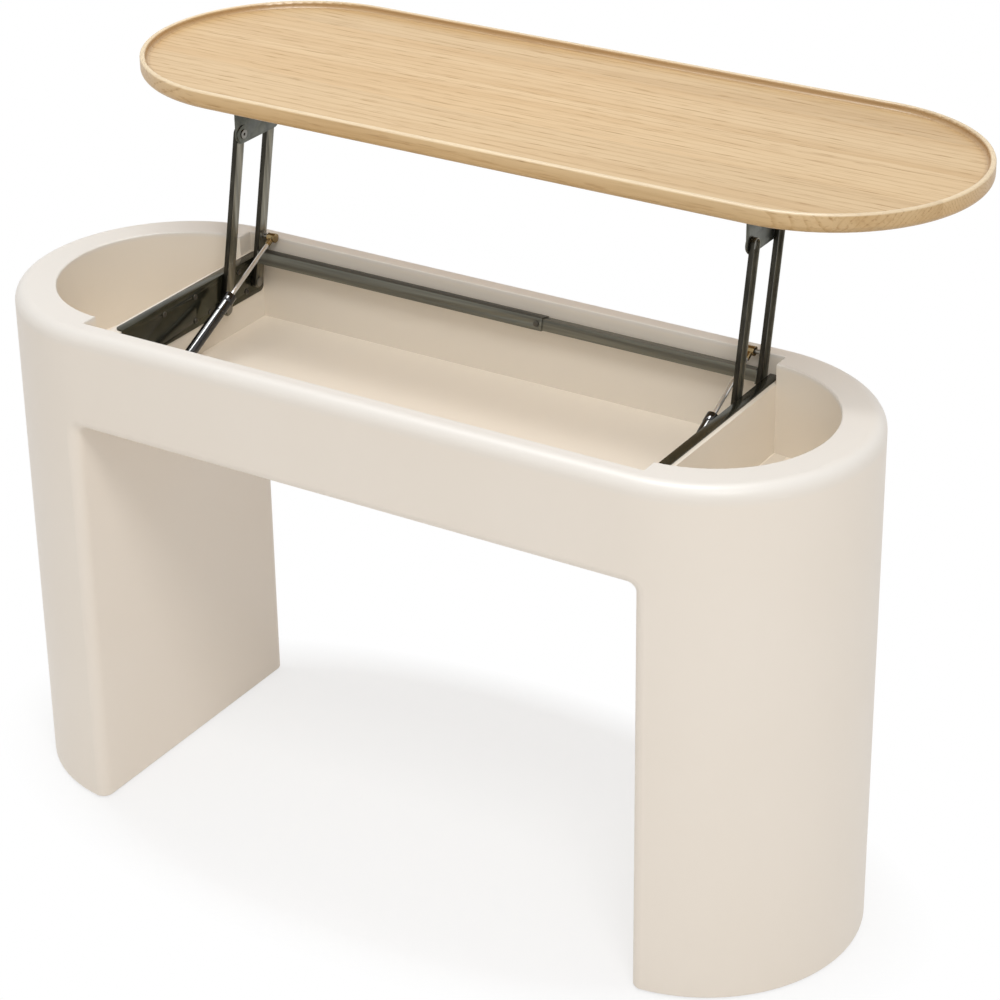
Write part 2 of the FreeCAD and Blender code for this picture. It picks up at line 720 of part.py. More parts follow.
def make_tube(name, left, right, outside, inside, foot_left, foot_right):
    """A square tube between the rear arms, with a welded foot at its arm."""
    body = new_body(name)
    place(body, "0", "rear_pivot_y", "rear_pivot_z", (1, 0, 0), "-arm_lean")
    section = new_sketch(body, "YZ_Plane", left)
    for side in (outside, inside):
        half = "(%s) / 2" % side
        rectangle(section, "-" + half, half, "tube_along - " + half, "tube_along + " + half)
    pad(body, section, "(%s) - (%s)" % (right, left))
    foot = new_sketch(body, "YZ_Plane", foot_left)
    edge = "(tube_side / 2 + tube_foot_margin)"
    rectangle(foot, "-" + edge, edge, "tube_along - " + edge, "tube_along + " + edge)
    pad(body, foot, "(%s) - (%s)" % (foot_right, foot_left))
    return body


def make_cross_tube():
    outer = make_tube("Tube_outer", "-arm_face", "tube_sleeve_end", "tube_side", "tube_hole",
                      "-arm_face", "-arm_face + tube_foot_gauge")
    hole = new_sketch(outer, "XZ_Plane", "tube_side / 2")
    circle(hole, "tube_sleeve_end - set_screw_inset", "tube_along", "set_screw_diameter / 2")
    pocket(outer, hole, "tube_wall")
    keep("cross_tube_outer", outer)
    inner = make_tube("Tube_inner", "tube_sleeve_end - tube_engagement", "arm_face", "inner_side",
                      "inner_side - 2 * tube_wall", "arm_face - tube_foot_gauge", "arm_face")
    keep("cross_tube_inner", inner)
    body = new_body("Set_screw")
    place(body, "0", "rear_pivot_y", "rear_pivot_z", (1, 0, 0), "-arm_lean")
    spot = ("tube_sleeve_end - set_screw_inset", "tube_along")
    shank = new_sketch(body, "XZ_Plane", "inner_side / 2")
    circle(shank, *spot, "set_screw_diameter / 2")
    pad(body, shank, "tube_slide_gap + tube_wall")
    head = new_sketch(body, "XZ_Plane", "tube_side / 2")
    circle(head, *spot, "set_screw_diameter")
    pad(body, head, "set_screw_diameter / 2")
    keep("set_screw", body)


def make_ball_stud():
    """Stud in the rear arm's ear; the strut's socket turns on its ball."""
    flange_end = "arm_face - stud_flange_thickness"
    spot = ("ball_y", "ball_z")
    rivet = round_x("Stud_rivet", "arm_face", "arm_face + arm_gauge", *spot, "stud_neck_diameter")
    flange = round_x("Stud_flange", flange_end, "arm_face", *spot, "pin_head_diameter")
    neck = round_x("Stud_neck", "strut_plane", flange_end, *spot, "stud_neck_diameter")
    ball = doc.addObject("Part::Sphere", "Stud_ball")
    bind(ball, {"Radius": "ball_diameter / 2"})
    place(ball, "strut_plane", *spot, (0, 1, 0), "90")
    return fuse("Ball_stud", [rivet, flange, neck, ball])


def make_arms():
    keep_pair("front_arm", make_arm("Front_arm", "front_pivot_y", "front_pivot_z", False))
    keep_pair("rear_arm", make_arm("Rear_arm", "rear_pivot_y", "rear_pivot_z", True))
    make_cross_tube()
    keep_pair("ball_stud", make_ball_stud())


# Top brackets and tray


def top_pivots():
    yield "front_top_y", "front_top_z"
    yield "rear_top_y", "rear_top_z"


def bracket_screw_spots():
    across = "bracket_face - bracket_flange_width / 2"
    yield across, "bracket_front + screw_row_margin"
    yield across, "bracket_rear - screw_row_margin"


def make_bracket():
    body = new_body("Bracket")
    web = new_sketch(body, "YZ_Plane", "bracket_face")
    quad(web, (("bracket_front", "front_top_z"), ("rear_top_y + bracket_lug_radius", "front_top_z"),
               ("bracket_rear", "tray_bottom"), ("bracket_front", "tray_bottom")))
    pad(body, web, "bracket_gauge")
    foot = new_sketch(body, "YZ_Plane", "bracket_face")
    slot(foot, ("front_top_y", "front_top_z"), ("rear_top_y", "front_top_z"), "bracket_lug_radius")
    pad(body, foot, "bracket_gauge")
    boss = new_sketch(body, "YZ_Plane", "bracket_face - bracket_boss_height")
    circle(boss, "front_top_y", "front_top_z", "bracket_boss_radius")
    pad(body, boss, "bracket_boss_height")
    flange = new_sketch(body, "XY_Plane", "tray_bottom - bracket_gauge")
    rectangle(flange, "bracket_face - bracket_flange_width", "bracket_outer", "bracket_front", "bracket_rear")
    pad(body, flange, "bracket_gauge")
    holes = new_sketch(body, "YZ_Plane", "bracket_outer")
    for back, up in top_pivots():
        circle(holes, back, up, "pin_diameter / 2")
    pocket(body, holes)
    screw_holes = new_sketch(body, "XY_Plane", "tray_bottom")
    for across, back in bracket_screw_spots():
        circle(screw_holes, across, back, "screw_shank_diameter / 2")
    pocket(body, screw_holes)
    return body


def top_pin(name, back, up, face):
    """A hollow pivot pin riveted in the bracket, with its head inside the arm's channel."""
    start = face + " - pin_head_thickness"
    inside = "arm_face + arm_gauge + side_clearance"
    rim = round_x(name + "_rim", start, face, back, up, "pin_head_diameter")
    shank = round_x(name + "_shank", face, inside, back, up, "pin_diameter")
    head = round_x(name + "_head", inside, inside + " + pin_head_thickness", back, up, "pin_head_diameter")
    eye = round_x(name + "_eye", start, "bracket_outer", back, up, "pin_eye_diameter")
    return cut(name, fuse(name + "_whole", [rim, shank, head]), eye)


def make_tray():
    body = new_body("Tray")
    place(body, "0", "tray_shift", "tray_bottom")
    outline = new_sketch(body, "XY_Plane")
    slot(outline, ("-end_centre", "0"), ("end_centre", "0"), "body_depth / 2")
    pad(body, outline, "tray_thickness")
    recess = new_sketch(body, "XY_Plane", "tray_thickness")
    slot(recess, ("-end_centre", "0"), ("end_centre", "0"), "body_depth / 2 - tray_lip_width")
    pocket(body, recess, "tray_recess_depth")
    top = number("tray_thickness")

    def lower_edge(points):
        return all(same(p.z, 0) for p in points)

    def lip_edge(points):
        return all(same(p.z, top) for p in points)

    def recess_edge(points):
        return all(same(p.z, top - number("tray_recess_depth")) for p in points)

    fillet(body, "tray_cove", recess_edge)
    fillet(body, "tray_under_round", lower_edge)
    fillet(body, "tray_lip_round", lip_edge)
    return body


def make_top():
    keep_pair("top_bracket", make_bracket())
    faces = ("bracket_face - bracket_boss_height", "bracket_face")
    pins = [top_pin("Top_pin_%d" % i, *spot, faces[i]) for i, spot in enumerate(top_pivots())]
    keep_pair("top_pins", group("Right_top_pins", pins))
    low = "tray_bottom - bracket_gauge"
    screws = []
    holes = []
    for side in ("", "-"):
        for across, back in bracket_screw_spots():
            name = "Bracket_screw_%d" % len(screws)
            spot = ("%s(%s)" % (side, across), back)
            head = round_z(name + "_head", *spot, low + " - screw_head_height", low, "screw_head_diameter")
            shank = round_z(name + "_shank", *spot, low, "tray_bottom + screw_bite", "screw_shank_diameter")
            screws.append(fuse(name, [head, shank]))
            hole = round_z(name + "_hole", *spot, "tray_bottom", "tray_bottom + screw_bite", "screw_shank_diameter")
            holes.append(hole)
    keep("bracket_screws", group("Bracket_screws", screws))
    keep("tray_top", cut("Tray_top", make_tray(), fuse("Tray_holes", holes)))


# Gas struts


def make_strut():
    spot = ("ball_y", "ball_z")
    shell_left, shell_right = "strut_plane - socket_width / 2", "strut_plane + socket_width / 2"
    shell = round_x("Socket_shell", shell_left, shell_right, *spot, "socket_diameter")
    neck = strut_bar("Socket_neck", "0", "socket_reach", "socket_neck_diameter")
    bore_start = "strut_plane - ball_diameter / 2 - running_clearance"
    bore = round_x("Socket_bore", bore_start, shell_right, *spot, "ball_diameter + 2 * running_clearance")
    keep_pair("strut_socket", cut("Strut_socket", fuse("Socket_body", [shell, neck]), bore))

    bore_diameter = "(cylinder_diameter - 2 * cylinder_wall)"
    rod = strut_bar("Rod_bar", "socket_reach", "piston_start", "rod_diameter")
    piston = strut_bar("Rod_piston", "piston_start", "piston_start + piston_length",
                       bore_diameter + " - 2 * running_clearance")
    keep_pair("strut_rod", fuse("Strut_rod", [rod, piston]))

    ring = strut_bar("Collar_ring", "rod_reach", "collar_end", "collar_diameter")
    guide = strut_bar("Collar_guide", "rod_reach", "collar_end", "rod_diameter + 2 * running_clearance")
    keep_pair("strut_collar", cut("Strut_collar", ring, guide))

    tube = strut_bar("Cylinder_tube", "collar_end", "cylinder_low", "cylinder_diameter")
    hollow = strut_bar("Cylinder_hollow", "collar_end", "cylinder_low - cylinder_end", bore_diameter)
    keep_pair("strut_cylinder", cut("Strut_cylinder", tube, hollow))

    low = ("anchor_y", "anchor_z")
    left, right = "strut_plane - eye_width / 2", "strut_plane + eye_width / 2"
    eye = round_x("Eye_ring", left, right, *low, "eye_diameter")
    stem = strut_bar("Eye_stem", "cylinder_low", "strut_length", "eye_stem_diameter")
    hole = round_x("Eye_hole", left, right, *low, "anchor_pin_diameter + 2 * running_clearance")
    keep_pair("strut_eye", cut("Strut_eye", fuse("Eye_body", [eye, stem]), hole))


make_carcass()
make_boards()
make_rails()
make_arms()
make_top()
make_strut()
doc.removeObject(probe.Name)
doc.recompute()

for thing in doc.Objects:
    if "Invalid" in thing.State or "Error" in thing.State:
        raise RuntimeError("%s is in state %s" % (thing.Name, thing.State))
for label, thing in nodes.items():
    if thing.Shape.isNull() or not thing.Shape.isValid() or not thing.Shape.Solids:
        raise RuntimeError(label + " has no valid shape")

os.makedirs("parts", exist_ok=True)
for label, thing in nodes.items():
    thing.Shape.exportStep("parts/%s.step" % label)
print("%d nodes written" % len(nodes))
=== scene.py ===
"""Studio look of a lift-top console table.

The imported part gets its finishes: cream lacquer, oak, coated steel, brass and chrome. The lift's steel
pieces are replaced by copies with eased edges, the screws by cross-recessed ones and the strut
cylinders by turned ones. A plain studio with floor, lamps and camera stands round it.
"""

import json
import math

import bmesh
import bpy
from bpy.props import FloatProperty, FloatVectorProperty, IntProperty, PointerProperty
from mathutils import Matrix, Vector

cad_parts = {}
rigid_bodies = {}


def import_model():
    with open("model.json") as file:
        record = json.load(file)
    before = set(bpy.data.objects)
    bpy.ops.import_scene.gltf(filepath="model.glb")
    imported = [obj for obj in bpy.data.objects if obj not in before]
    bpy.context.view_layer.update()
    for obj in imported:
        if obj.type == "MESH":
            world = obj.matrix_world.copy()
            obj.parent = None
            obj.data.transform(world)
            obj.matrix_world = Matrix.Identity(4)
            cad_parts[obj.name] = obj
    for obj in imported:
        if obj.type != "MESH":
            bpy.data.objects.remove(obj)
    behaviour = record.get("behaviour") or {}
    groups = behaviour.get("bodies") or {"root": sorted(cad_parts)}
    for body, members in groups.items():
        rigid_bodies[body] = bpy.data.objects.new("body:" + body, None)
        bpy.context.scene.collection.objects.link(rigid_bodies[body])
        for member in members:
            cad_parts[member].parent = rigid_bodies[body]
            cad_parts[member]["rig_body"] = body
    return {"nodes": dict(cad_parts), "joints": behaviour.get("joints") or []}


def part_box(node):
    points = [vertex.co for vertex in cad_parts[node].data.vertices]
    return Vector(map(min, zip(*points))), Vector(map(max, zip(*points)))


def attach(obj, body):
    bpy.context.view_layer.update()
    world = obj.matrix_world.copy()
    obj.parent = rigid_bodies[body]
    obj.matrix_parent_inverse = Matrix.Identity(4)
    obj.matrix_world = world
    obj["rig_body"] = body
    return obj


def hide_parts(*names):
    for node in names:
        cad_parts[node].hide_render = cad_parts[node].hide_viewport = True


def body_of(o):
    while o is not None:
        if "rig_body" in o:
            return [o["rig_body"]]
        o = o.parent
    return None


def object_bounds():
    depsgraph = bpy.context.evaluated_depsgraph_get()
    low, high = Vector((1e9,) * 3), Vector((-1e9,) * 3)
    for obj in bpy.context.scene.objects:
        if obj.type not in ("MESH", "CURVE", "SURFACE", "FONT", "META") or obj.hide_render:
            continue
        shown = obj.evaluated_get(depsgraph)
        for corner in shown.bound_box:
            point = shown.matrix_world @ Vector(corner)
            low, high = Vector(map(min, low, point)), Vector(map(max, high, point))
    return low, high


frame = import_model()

bl_info = {
    "name": "Lift-top console table",
    "version": (1, 0, 0),
    "blender": (4, 5, 0),
    "location": "View3D > Sidebar > Console table",
    "description": "Dresses the packed console table: lacquer, oak, steel hardware, studio",
    "category": "Object",
}

CAD_LOW, CAD_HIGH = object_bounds()
SIDES = ("left", "right")
JOINTS = {joint["name"]: joint for joint in frame["joints"]}
FULL_TURN = 2 * math.pi
QUARTER_TURN = math.pi / 2
WHITE = (1, 1, 1, 1)

# Corners nearer than this are merged, and faces that meet flatter than this are joined
MERGE_DISTANCE = 1e-6
FLAT_ANGLE = math.radians(0.4)

# Edges sharper than this are eased, in this many steps
EASE_ANGLE = math.radians(35)
EASE_STEPS = 2

# Edges sharper than this stay sharp in the shading, and the same for turned pieces
SHARP_ANGLE = math.radians(40)
TURNED_SHARP_ANGLE = math.radians(32)

# Steps of a rounded corner, and side of the plane that a turned profile starts from
ROUND_STEPS = 4
START_SIZE = 0.001

# Inputs and output of a colour mix node
MIX_FACTOR, MIX_FIRST, MIX_SECOND, MIX_RESULT = 0, 6, 7, 2

# Painted highlight on the carcass's rim and painted shade in its wells: (start, full) below the top or
# in from the outer faces
RIM_HIGHLIGHT_DEPTH = (0.024, 0.004)
WELL_SHADE_INSET = (0.020, 0.026)
WELL_SHADE_DEPTH = (0.001, 0.008)

# Lip of the tray, for painted shade on its inner wall and a painted highlight on its top: (start, full)
# in from its outer face or below its top
LIP_SHADE_FOOT_INSET = (0.015, 0.0095)
LIP_SHADE_WALL_INSET = (0.0058, 0.0078)
LIP_SHADE_DEPTH = (0.0125, 0.010)
CREST_HIGHLIGHT_INSET = (0.0075, 0.0058)
CREST_HIGHLIGHT_DEPTH = (0.003, 0.0012)

# Painted shade on the tray's rounded underside: starts this far below its top, full this far above its
# underside
UNDERSIDE_SHADE_START, UNDERSIDE_SHADE_FULL = 0.003, 0.002

# Oak: spacing of its figure along x, y and z in metres, and length of a pore in pore widths
WANDER_SPACING = (0.85, 0.07, 0.09)
WAVER_SPACING = (0.20, 0.02, 0.02)
BREAK_SPACING = (0.11, 0.008, 0.008)
STREAK_SPACING = (0.26, 0.0075, 0.0075)
BAND_SPACING = (1.1, 0.05, 0.06)
PORE_LENGTH = 16

# Oak: slants, strengths and tones at the two ends of a range
RING_SLANT = (-1.0, 1.2)
LINE_STRENGTH = (0.16, 0.62)
STREAK_STRENGTH = (0.0, 0.28)
PORE_STRENGTH = (0.62, 0.16)
STAVE_TONE = (0.955, 1.03)

# Coated steel: spacing of its drawn-out tone in metres
ARM_GRAIN = (0.006, 0.006, 0.16)
TUBE_GRAIN = (0.30, 0.006, 0.006)
RAIL_GRAIN = (0.16, 0.11, 0.16)
BRACKET_GRAIN = (0.02, 0.02, 0.02)

# Painted shade on one face of coated steel: (start, full) in from that face
PAINTED_SHADE_FACE = (0.0025, 0.0010)

# Spacing of the small marks on metal, board and plastic, in metres
PIT_SPACING = (0.0012,) * 3
STAIN_SPACING = (0.012,) * 3
DUST_SPACING = (0.005,) * 3
FIBRE_SPACING = (0.006, 0.0015, 0.003)
GRAIN_SPACING = (0.0009,) * 3
SCUFF_SPACING = (0.012,) * 3


def tint(name, description, default):
    """A colour property in linear light."""
    return FloatVectorProperty(
        name=name, description=description, subtype="COLOR", size=3, min=0, max=1, default=default
    )


def length(name, description, default):
    """A length property in metres."""
    return FloatProperty(name=name, description=description, unit="LENGTH", min=0, default=default)


def share(name, description, default):
    """A property between 0 and 1."""
    return FloatProperty(
        name=name, description=description, subtype="FACTOR", min=0, max=1, default=default
    )


def power(name, description, default):
    """A lamp's power in watts."""
    return FloatProperty(name=name, description=description, subtype="POWER", min=0, default=default)


def angle(name, description, degrees):
    """An angle property, given in degrees."""
    return FloatProperty(
        name=name, description=description, subtype="ANGLE", default=math.radians(degrees)
    )


def spot(name, description, default):
    """A place in metres."""
    return FloatVectorProperty(
        name=name, description=description, subtype="TRANSLATION", size=3, default=default
    )


class ConsoleLacquer(bpy.types.PropertyGroup):
    """Paint of the carcass, the aprons, the dividers and the floors, with a painted highlight on the
    rim, painted shade in the wells and painted light on the floors.
    """

    paint: tint("Paint", "Cream of the lacquer", (0.818, 0.74, 0.648))
    warm: tint("Warm patches", "Slightly warmer cream that clouds the paint", (0.798, 0.715, 0.615))
    sheen: share("Roughness", "Least roughness of the satin lacquer", 0.40)
    wave_rise: share("Wave roughness", "How much rougher the soft waves are at most", 0.08)
    wave_size: length("Spray texture", "Distance between the soft waves left by spraying", 0.045)
    cloud_size: length("Cloud size", "Size of the faint warm patches", 0.22)
    # Paler rim: a painted highlight
    pale: tint("Rim", "Paler paint along the rim", (0.775, 0.735, 0.680))
    # Warmer wells: painted shade of the light bouncing inside them
    inside: tint("Inside", "Warmer cream inside the wells", (0.803, 0.733, 0.632))
    # Lighter floors: painted light falling from above
    floor_painted_light: share("Floor lift", "How much lighter the floors are than the walls", 0.16)
    coat: share("Clear coat", "Strength of the clear coat", 0.06)
    coat_sheen: share("Coat roughness", "Roughness of the clear coat", 0.30)


class ConsoleOak(bpy.types.PropertyGroup):
    """Oak of the lifting tray."""

    pale: tint("Pale oak", "Pale oak between the growth rings", (0.71, 0.50, 0.263))
    golden: tint("Golden oak", "Broad golden bands in the oak", (0.63, 0.413, 0.190))
    line: tint("Ring lines", "Thin darker line of each growth ring", (0.46, 0.265, 0.092))
    pore: tint("Pores", "Brown of the open pores", (0.34, 0.18, 0.06))
    # Browner inside of the lip: partly the finish, partly painted shade
    brown: tint("Lip brown", "Brown of the inside of the lip", (0.335, 0.188, 0.072))
    # Paler top of the lip: a painted highlight
    crest: tint("Lip crest", "Pale top of the lip", (0.90, 0.76, 0.54))
    stave_width: length("Stave width", "Width of the glued staves", 0.107)
    ring_width: length("Ring width", "Distance between the growth rings", 0.0150)
    edge_rings: FloatProperty(
        name="Edge rings", description="How many times closer the rings show on the tray's edge",
        min=1, default=2.3,
    )
    wander: length("Ring wander", "How far the rings wander across the staves", 0.045)
    waver: length("Ring waver", "How far the rings waver on their way", 0.005)
    pore_width: length("Pore width", "Distance between the pore dashes", 0.0028)
    shift_along: length("Stave shift", "How far two staves may lie apart along the tree", 3.7)
    shift_deep: length("Stave depth", "How far two staves may lie apart across the tree", 1.9)
    # Darker right ends of the staves: painted shade
    right_end_shade: share("Drift", "How much darker the staves grow towards their right ends", 0.09)
    right_end_shade_reach: share("Drift end", "Share of the right half where the staves are darkest", 0.6)
    end_grain: share("End grain", "How much darker the round ends show", 0.22)
    # Browner inside of the lip: partly the finish, partly painted shade
    lip_painted_shade: share("Lip shade", "How much browner the inside of the lip is", 0.62)
    # Paler top of the lip: a painted highlight
    lip_highlight: share("Lip light", "How much paler the top of the lip is", 0.60)
    # Browner rounded underside: painted shade
    underside_painted_shade: share("Edge shade", "How much browner the tray's rounded underside is", 0.34)
    sheen: share("Roughness", "Roughness of the matt lacquer on the oak", 0.36)
    pore_rise: share("Pore roughness", "How much rougher the pores are", 0.14)


class ConsoleSteel(bpy.types.PropertyGroup):
    """Metals of the lift mechanism."""

    arm: tint("Arms", "Bronze-grey coating of the arms", (0.195, 0.182, 0.142))
    # Darker front faces of the arms: painted shade of the channels
    front_painted_shade: share("Arm fronts", "Share of the arms' tone on their narrow front faces", 0.2)
    bracket: tint("Brackets", "Darker coating of the top brackets", (0.105, 0.107, 0.088))
    rail: tint("Rails", "Bronze-black coating of the rails", (0.058, 0.057, 0.038))
    tube: tint("Cross tube", "Grey-green coating of the cross tube", (0.145, 0.142, 0.115))
    # Darker top face of the cross tube: painted shade
    top_painted_shade: share("Tube top", "Share of the cross tube's tone on its top face", 0.35)
    pin: tint("Pins", "Steel of the pivot pins", (0.26, 0.25, 0.225))
    screw: tint("Screws", "Steel of the screws", (0.11, 0.103, 0.088))
    brass: tint("Brass", "Brass of the ball sockets", (0.30, 0.22, 0.11))
    chrome: tint("Chrome", "Chrome of the piston rods", (0.78, 0.78, 0.77))
    black: tint("Strut black", "Gloss black of the strut cylinders", (0.005, 0.005, 0.005))
    matt: share("Matt coat", "Roughness of the arms, brackets and cross tube", 0.335)
    satin: share("Satin coat", "Roughness of the rails", 0.20)
    ease: length("Eased edge", "Radius of the broken edges of the pressed steel", 0.0004)


class ConsoleBoard(bpy.types.PropertyGroup):
    """Raw board and plastic under the legs."""

    fibre: tint("Board", "Brown of the fibre board under the legs", (0.36, 0.265, 0.165))
    fleck: tint("Flecks", "Darker fibres of the board", (0.24, 0.165, 0.095))
    plastic: tint("Glides", "Dark grey of the glides", (0.045, 0.045, 0.047))
    glide_ease: length("Glide edge", "Radius of the glides' eased edges", 0.0008)


class ConsoleHardware(bpy.types.PropertyGroup):
    """Small forms of the screws and the struts."""

    facets: IntProperty(name="Facets", description="Steps round a turned part", min=12, default=40)
    head_height: length("Head height", "Height of the screw heads", 0.001)
    head_round: share("Head rounding", "Share of a screw head's height that is rounded", 0.62)
    tip: share("Screw tip", "Tapered share of a screw's shank, and the tip's share of its width", 0.2)
    recess_arm: length("Recess arm", "Length of the cross recess in a screw head", 0.0046)
    recess_width: length("Recess width", "Width of the cross recess", 0.0010)
    recess_depth: length("Recess depth", "Depth of the cross recess", 0.0007)
    groove_depth: length("Groove depth", "Depth of the rolled groove in the strut cylinder", 0.0007)
    groove_width: length("Groove width", "Width of the rolled groove", 0.0030)
    groove_flat: share("Groove flat", "Share of the groove's width that is flat", 0.4)
    groove_place: length("Groove place", "Distance of the groove from the cylinder's mouth", 0.018)
    wall: length("Cylinder wall", "Wall of the strut cylinder", 0.0015)
    end_wall: length("End wall", "Thickness of the strut cylinder's closed end", 0.004)
    end_round: length("End radius", "Rounding of the strut cylinder's closed end", 0.0030)


class ConsoleStage(bpy.types.PropertyGroup):
    """Floor, light and camera."""

    floor_size: length("Floor size", "Side of the floor", 40.0)
    floor_tone: tint("Floor", "Pale floor", (0.93, 0.93, 0.93))
    floor_white: share("Floor white", "How far the floor turns to plain white for the camera", 0.66)
    shadow_long: length("Shadow length", "How far past the table's ends its shadow shows", 0.035)
    shadow_wide: length("Shadow width", "How far past the carcass's sides its shadow shows", 0.120)
    shadow_edge: share("Shadow edge", "Softness of the shadow's edge", 0.11)
    sky: FloatProperty(name="Room light", description="Even light of the room", min=0, default=0.66)
    key: power("Key light", "Large soft lamp", 62.0)
    fill: power("Fill light", "Second soft lamp", 26.5)
    gloss: power("Gloss light", "Lamp seen only in shiny surfaces", 100.0)
    key_size: length("Key size", "Side of the key lamp", 1.1)
    fill_size: length("Fill size", "Short side of the fill lamp", 0.45)
    fill_reach: length("Fill reach", "Long side of the fill lamp", 2.1)
    gloss_size: length("Gloss size", "Short side of the gloss lamp", 1.1)
    gloss_reach: length("Gloss reach", "Long side of the gloss lamp", 1.2)
    lamp_way: FloatVectorProperty(
        name="Lamp way", description="Way the long sides of the fill and gloss lamps lie",
        subtype="DIRECTION", size=3, default=(1.0, 0.19, 0.0),
    )
    key_place: spot("Key place", "Place of the key lamp", (1.9, -2.0, 4.0))
    fill_place: spot("Fill place", "Place of the fill lamp", (-0.95, 0.2, 4.0))
    gloss_place: spot("Gloss place", "Place of the gloss lamp", (-0.14, -0.10, 4.2))
    camera_place: spot("Camera place", "Place of the camera", (1.893, -2.8418, 2.2626))
    azimuth: angle("Azimuth", "Camera's turn round the table", 31.339)
    elevation: angle("Elevation", "Camera's height angle", 25.53)
    roll: angle("Roll", "Camera's turn about its own axis", -0.431)
    lens: FloatProperty(
        name="Lens", description="Focal length", unit="CAMERA", min=1, default=104.771
    )
    film_width: FloatProperty(
        name="Film width", description="Width of the film", unit="CAMERA", min=1, default=36.0
    )
    far_end: length("Far end", "Farthest distance the camera sees", 200.0)
    shift_x: FloatProperty(name="Shift across", description="Lens shift across", default=-0.0376)
    shift_y: FloatProperty(name="Shift up", description="Lens shift upwards", default=-0.0979)


# Node helpers

def add_node(tree, kind, inputs=None, **settings):
    """Adds a node, sets its options, and sets or links its inputs."""
    made = tree.nodes.new(kind)
    for key, value in settings.items():
        setattr(made, key, value)
    for key, value in (inputs or {}).items():
        if isinstance(value, bpy.types.NodeSocket):
            tree.links.new(value, made.inputs[key])
        else:
            made.inputs[key].default_value = value
    return made


def place_on_piece(tree):
    """Place on the piece, in metres."""
    return add_node(tree, "ShaderNodeTexCoord").outputs["Object"]


def noise(tree, place, spacing, detail=3.0, rough=0.55, twist=0.0):
    """Noise whose features lie about `spacing` (x, y, z, in metres) apart."""
    sized = add_node(
        tree, "ShaderNodeMapping", {"Vector": place, "Scale": tuple(1 / s for s in spacing)}
    )
    made = add_node(
        tree, "ShaderNodeTexNoise",
        {"Vector": sized.outputs[0], "Scale": 1.0, "Detail": detail, "Roughness": rough,
         "Distortion": twist},
    )
    return made.outputs[0]


def spread(tree, value, low, high, to_low=0.0, to_high=1.0):
    """Maps a value from one range to another, held at the ends."""
    made = add_node(
        tree, "ShaderNodeMapRange",
        {"Value": value, "From Min": low, "From Max": high, "To Min": to_low, "To Max": to_high},
    )
    return made.outputs[0]


def fade_in(tree, value, edge, span):
    """0 where a value is span[0] short of an edge, 1 where it is span[1] short of it."""
    return spread(tree, value, edge - span[0], edge - span[1])


def sum_up(tree, operation, first, second):
    """One sum on two values."""
    made = add_node(tree, "ShaderNodeMath", {0: first, 1: second}, operation=operation)
    return made.outputs[0]


def blend(tree, factor, first, second, mode="MIX"):
    """Mixes two colours."""
    made = add_node(tree, "ShaderNodeMix", data_type="RGBA", blend_type=mode)
    for index, value in ((MIX_FACTOR, factor), (MIX_FIRST, first), (MIX_SECOND, second)):
        if isinstance(value, bpy.types.NodeSocket):
            tree.links.new(value, made.inputs[index])
        elif index == MIX_FACTOR:
            made.inputs[index].default_value = value
        else:
            made.inputs[index].default_value = (*value, 1.0)
    return made.outputs[MIX_RESULT]


def dim(tree, color, tone):
    """Multiplies a colour by a tone."""
    grey = add_node(tree, "ShaderNodeCombineColor", {0: tone, 1: tone, 2: tone})
    return blend(tree, 1.0, color, grey.outputs[0], "MULTIPLY")


def scaled(color, factor):
    """A colour made darker or lighter."""
    return tuple(min(1.0, part * factor) for part in color)


def bump(tree, height, strength, distance):
    """Surface relief from a height value."""
    made = add_node(
        tree, "ShaderNodeBump", {"Height": height, "Strength": strength, "Distance": distance}
    )
    return made.outputs[0]


def new_finish(name):
    """A material with only its shader and output: (material, tree, shader)."""
    material = bpy.data.materials.new(name)
    material.use_nodes = True
    tree = material.node_tree
    shader = tree.nodes["Principled BSDF"]
    return material, tree, shader


def finish(tree, shader, color, roughness, normal=None):
    """Links the colour, roughness and relief of a finish."""
    tree.links.new(color, shader.inputs["Base Color"])
    tree.links.new(roughness, shader.inputs["Roughness"])
    if normal is not None:
        tree.links.new(normal, shader.inputs["Normal"])


# Finishes

def out_from_middle(tree, parts, low, high):
    """Distance from the middle line of a stadium-shaped box to a place on it."""
    middle, radius = (low.y + high.y) / 2, (high.y - low.y) / 2
    straight = (high.x - low.x) / 2 - radius
    past_end = sum_up(tree, "SUBTRACT", sum_up(tree, "ABSOLUTE", parts["X"], 0.0), straight)
    past_end = sum_up(tree, "MAXIMUM", past_end, 0.0)
    sideways = sum_up(tree, "SUBTRACT", parts["Y"], middle)
    place = add_node(tree, "ShaderNodeCombineXYZ", {"X": past_end, "Y": sideways})
    reach = add_node(tree, "ShaderNodeVectorMath", {0: place.outputs[0]}, operation="LENGTH")
    return reach.outputs["Value"], radius


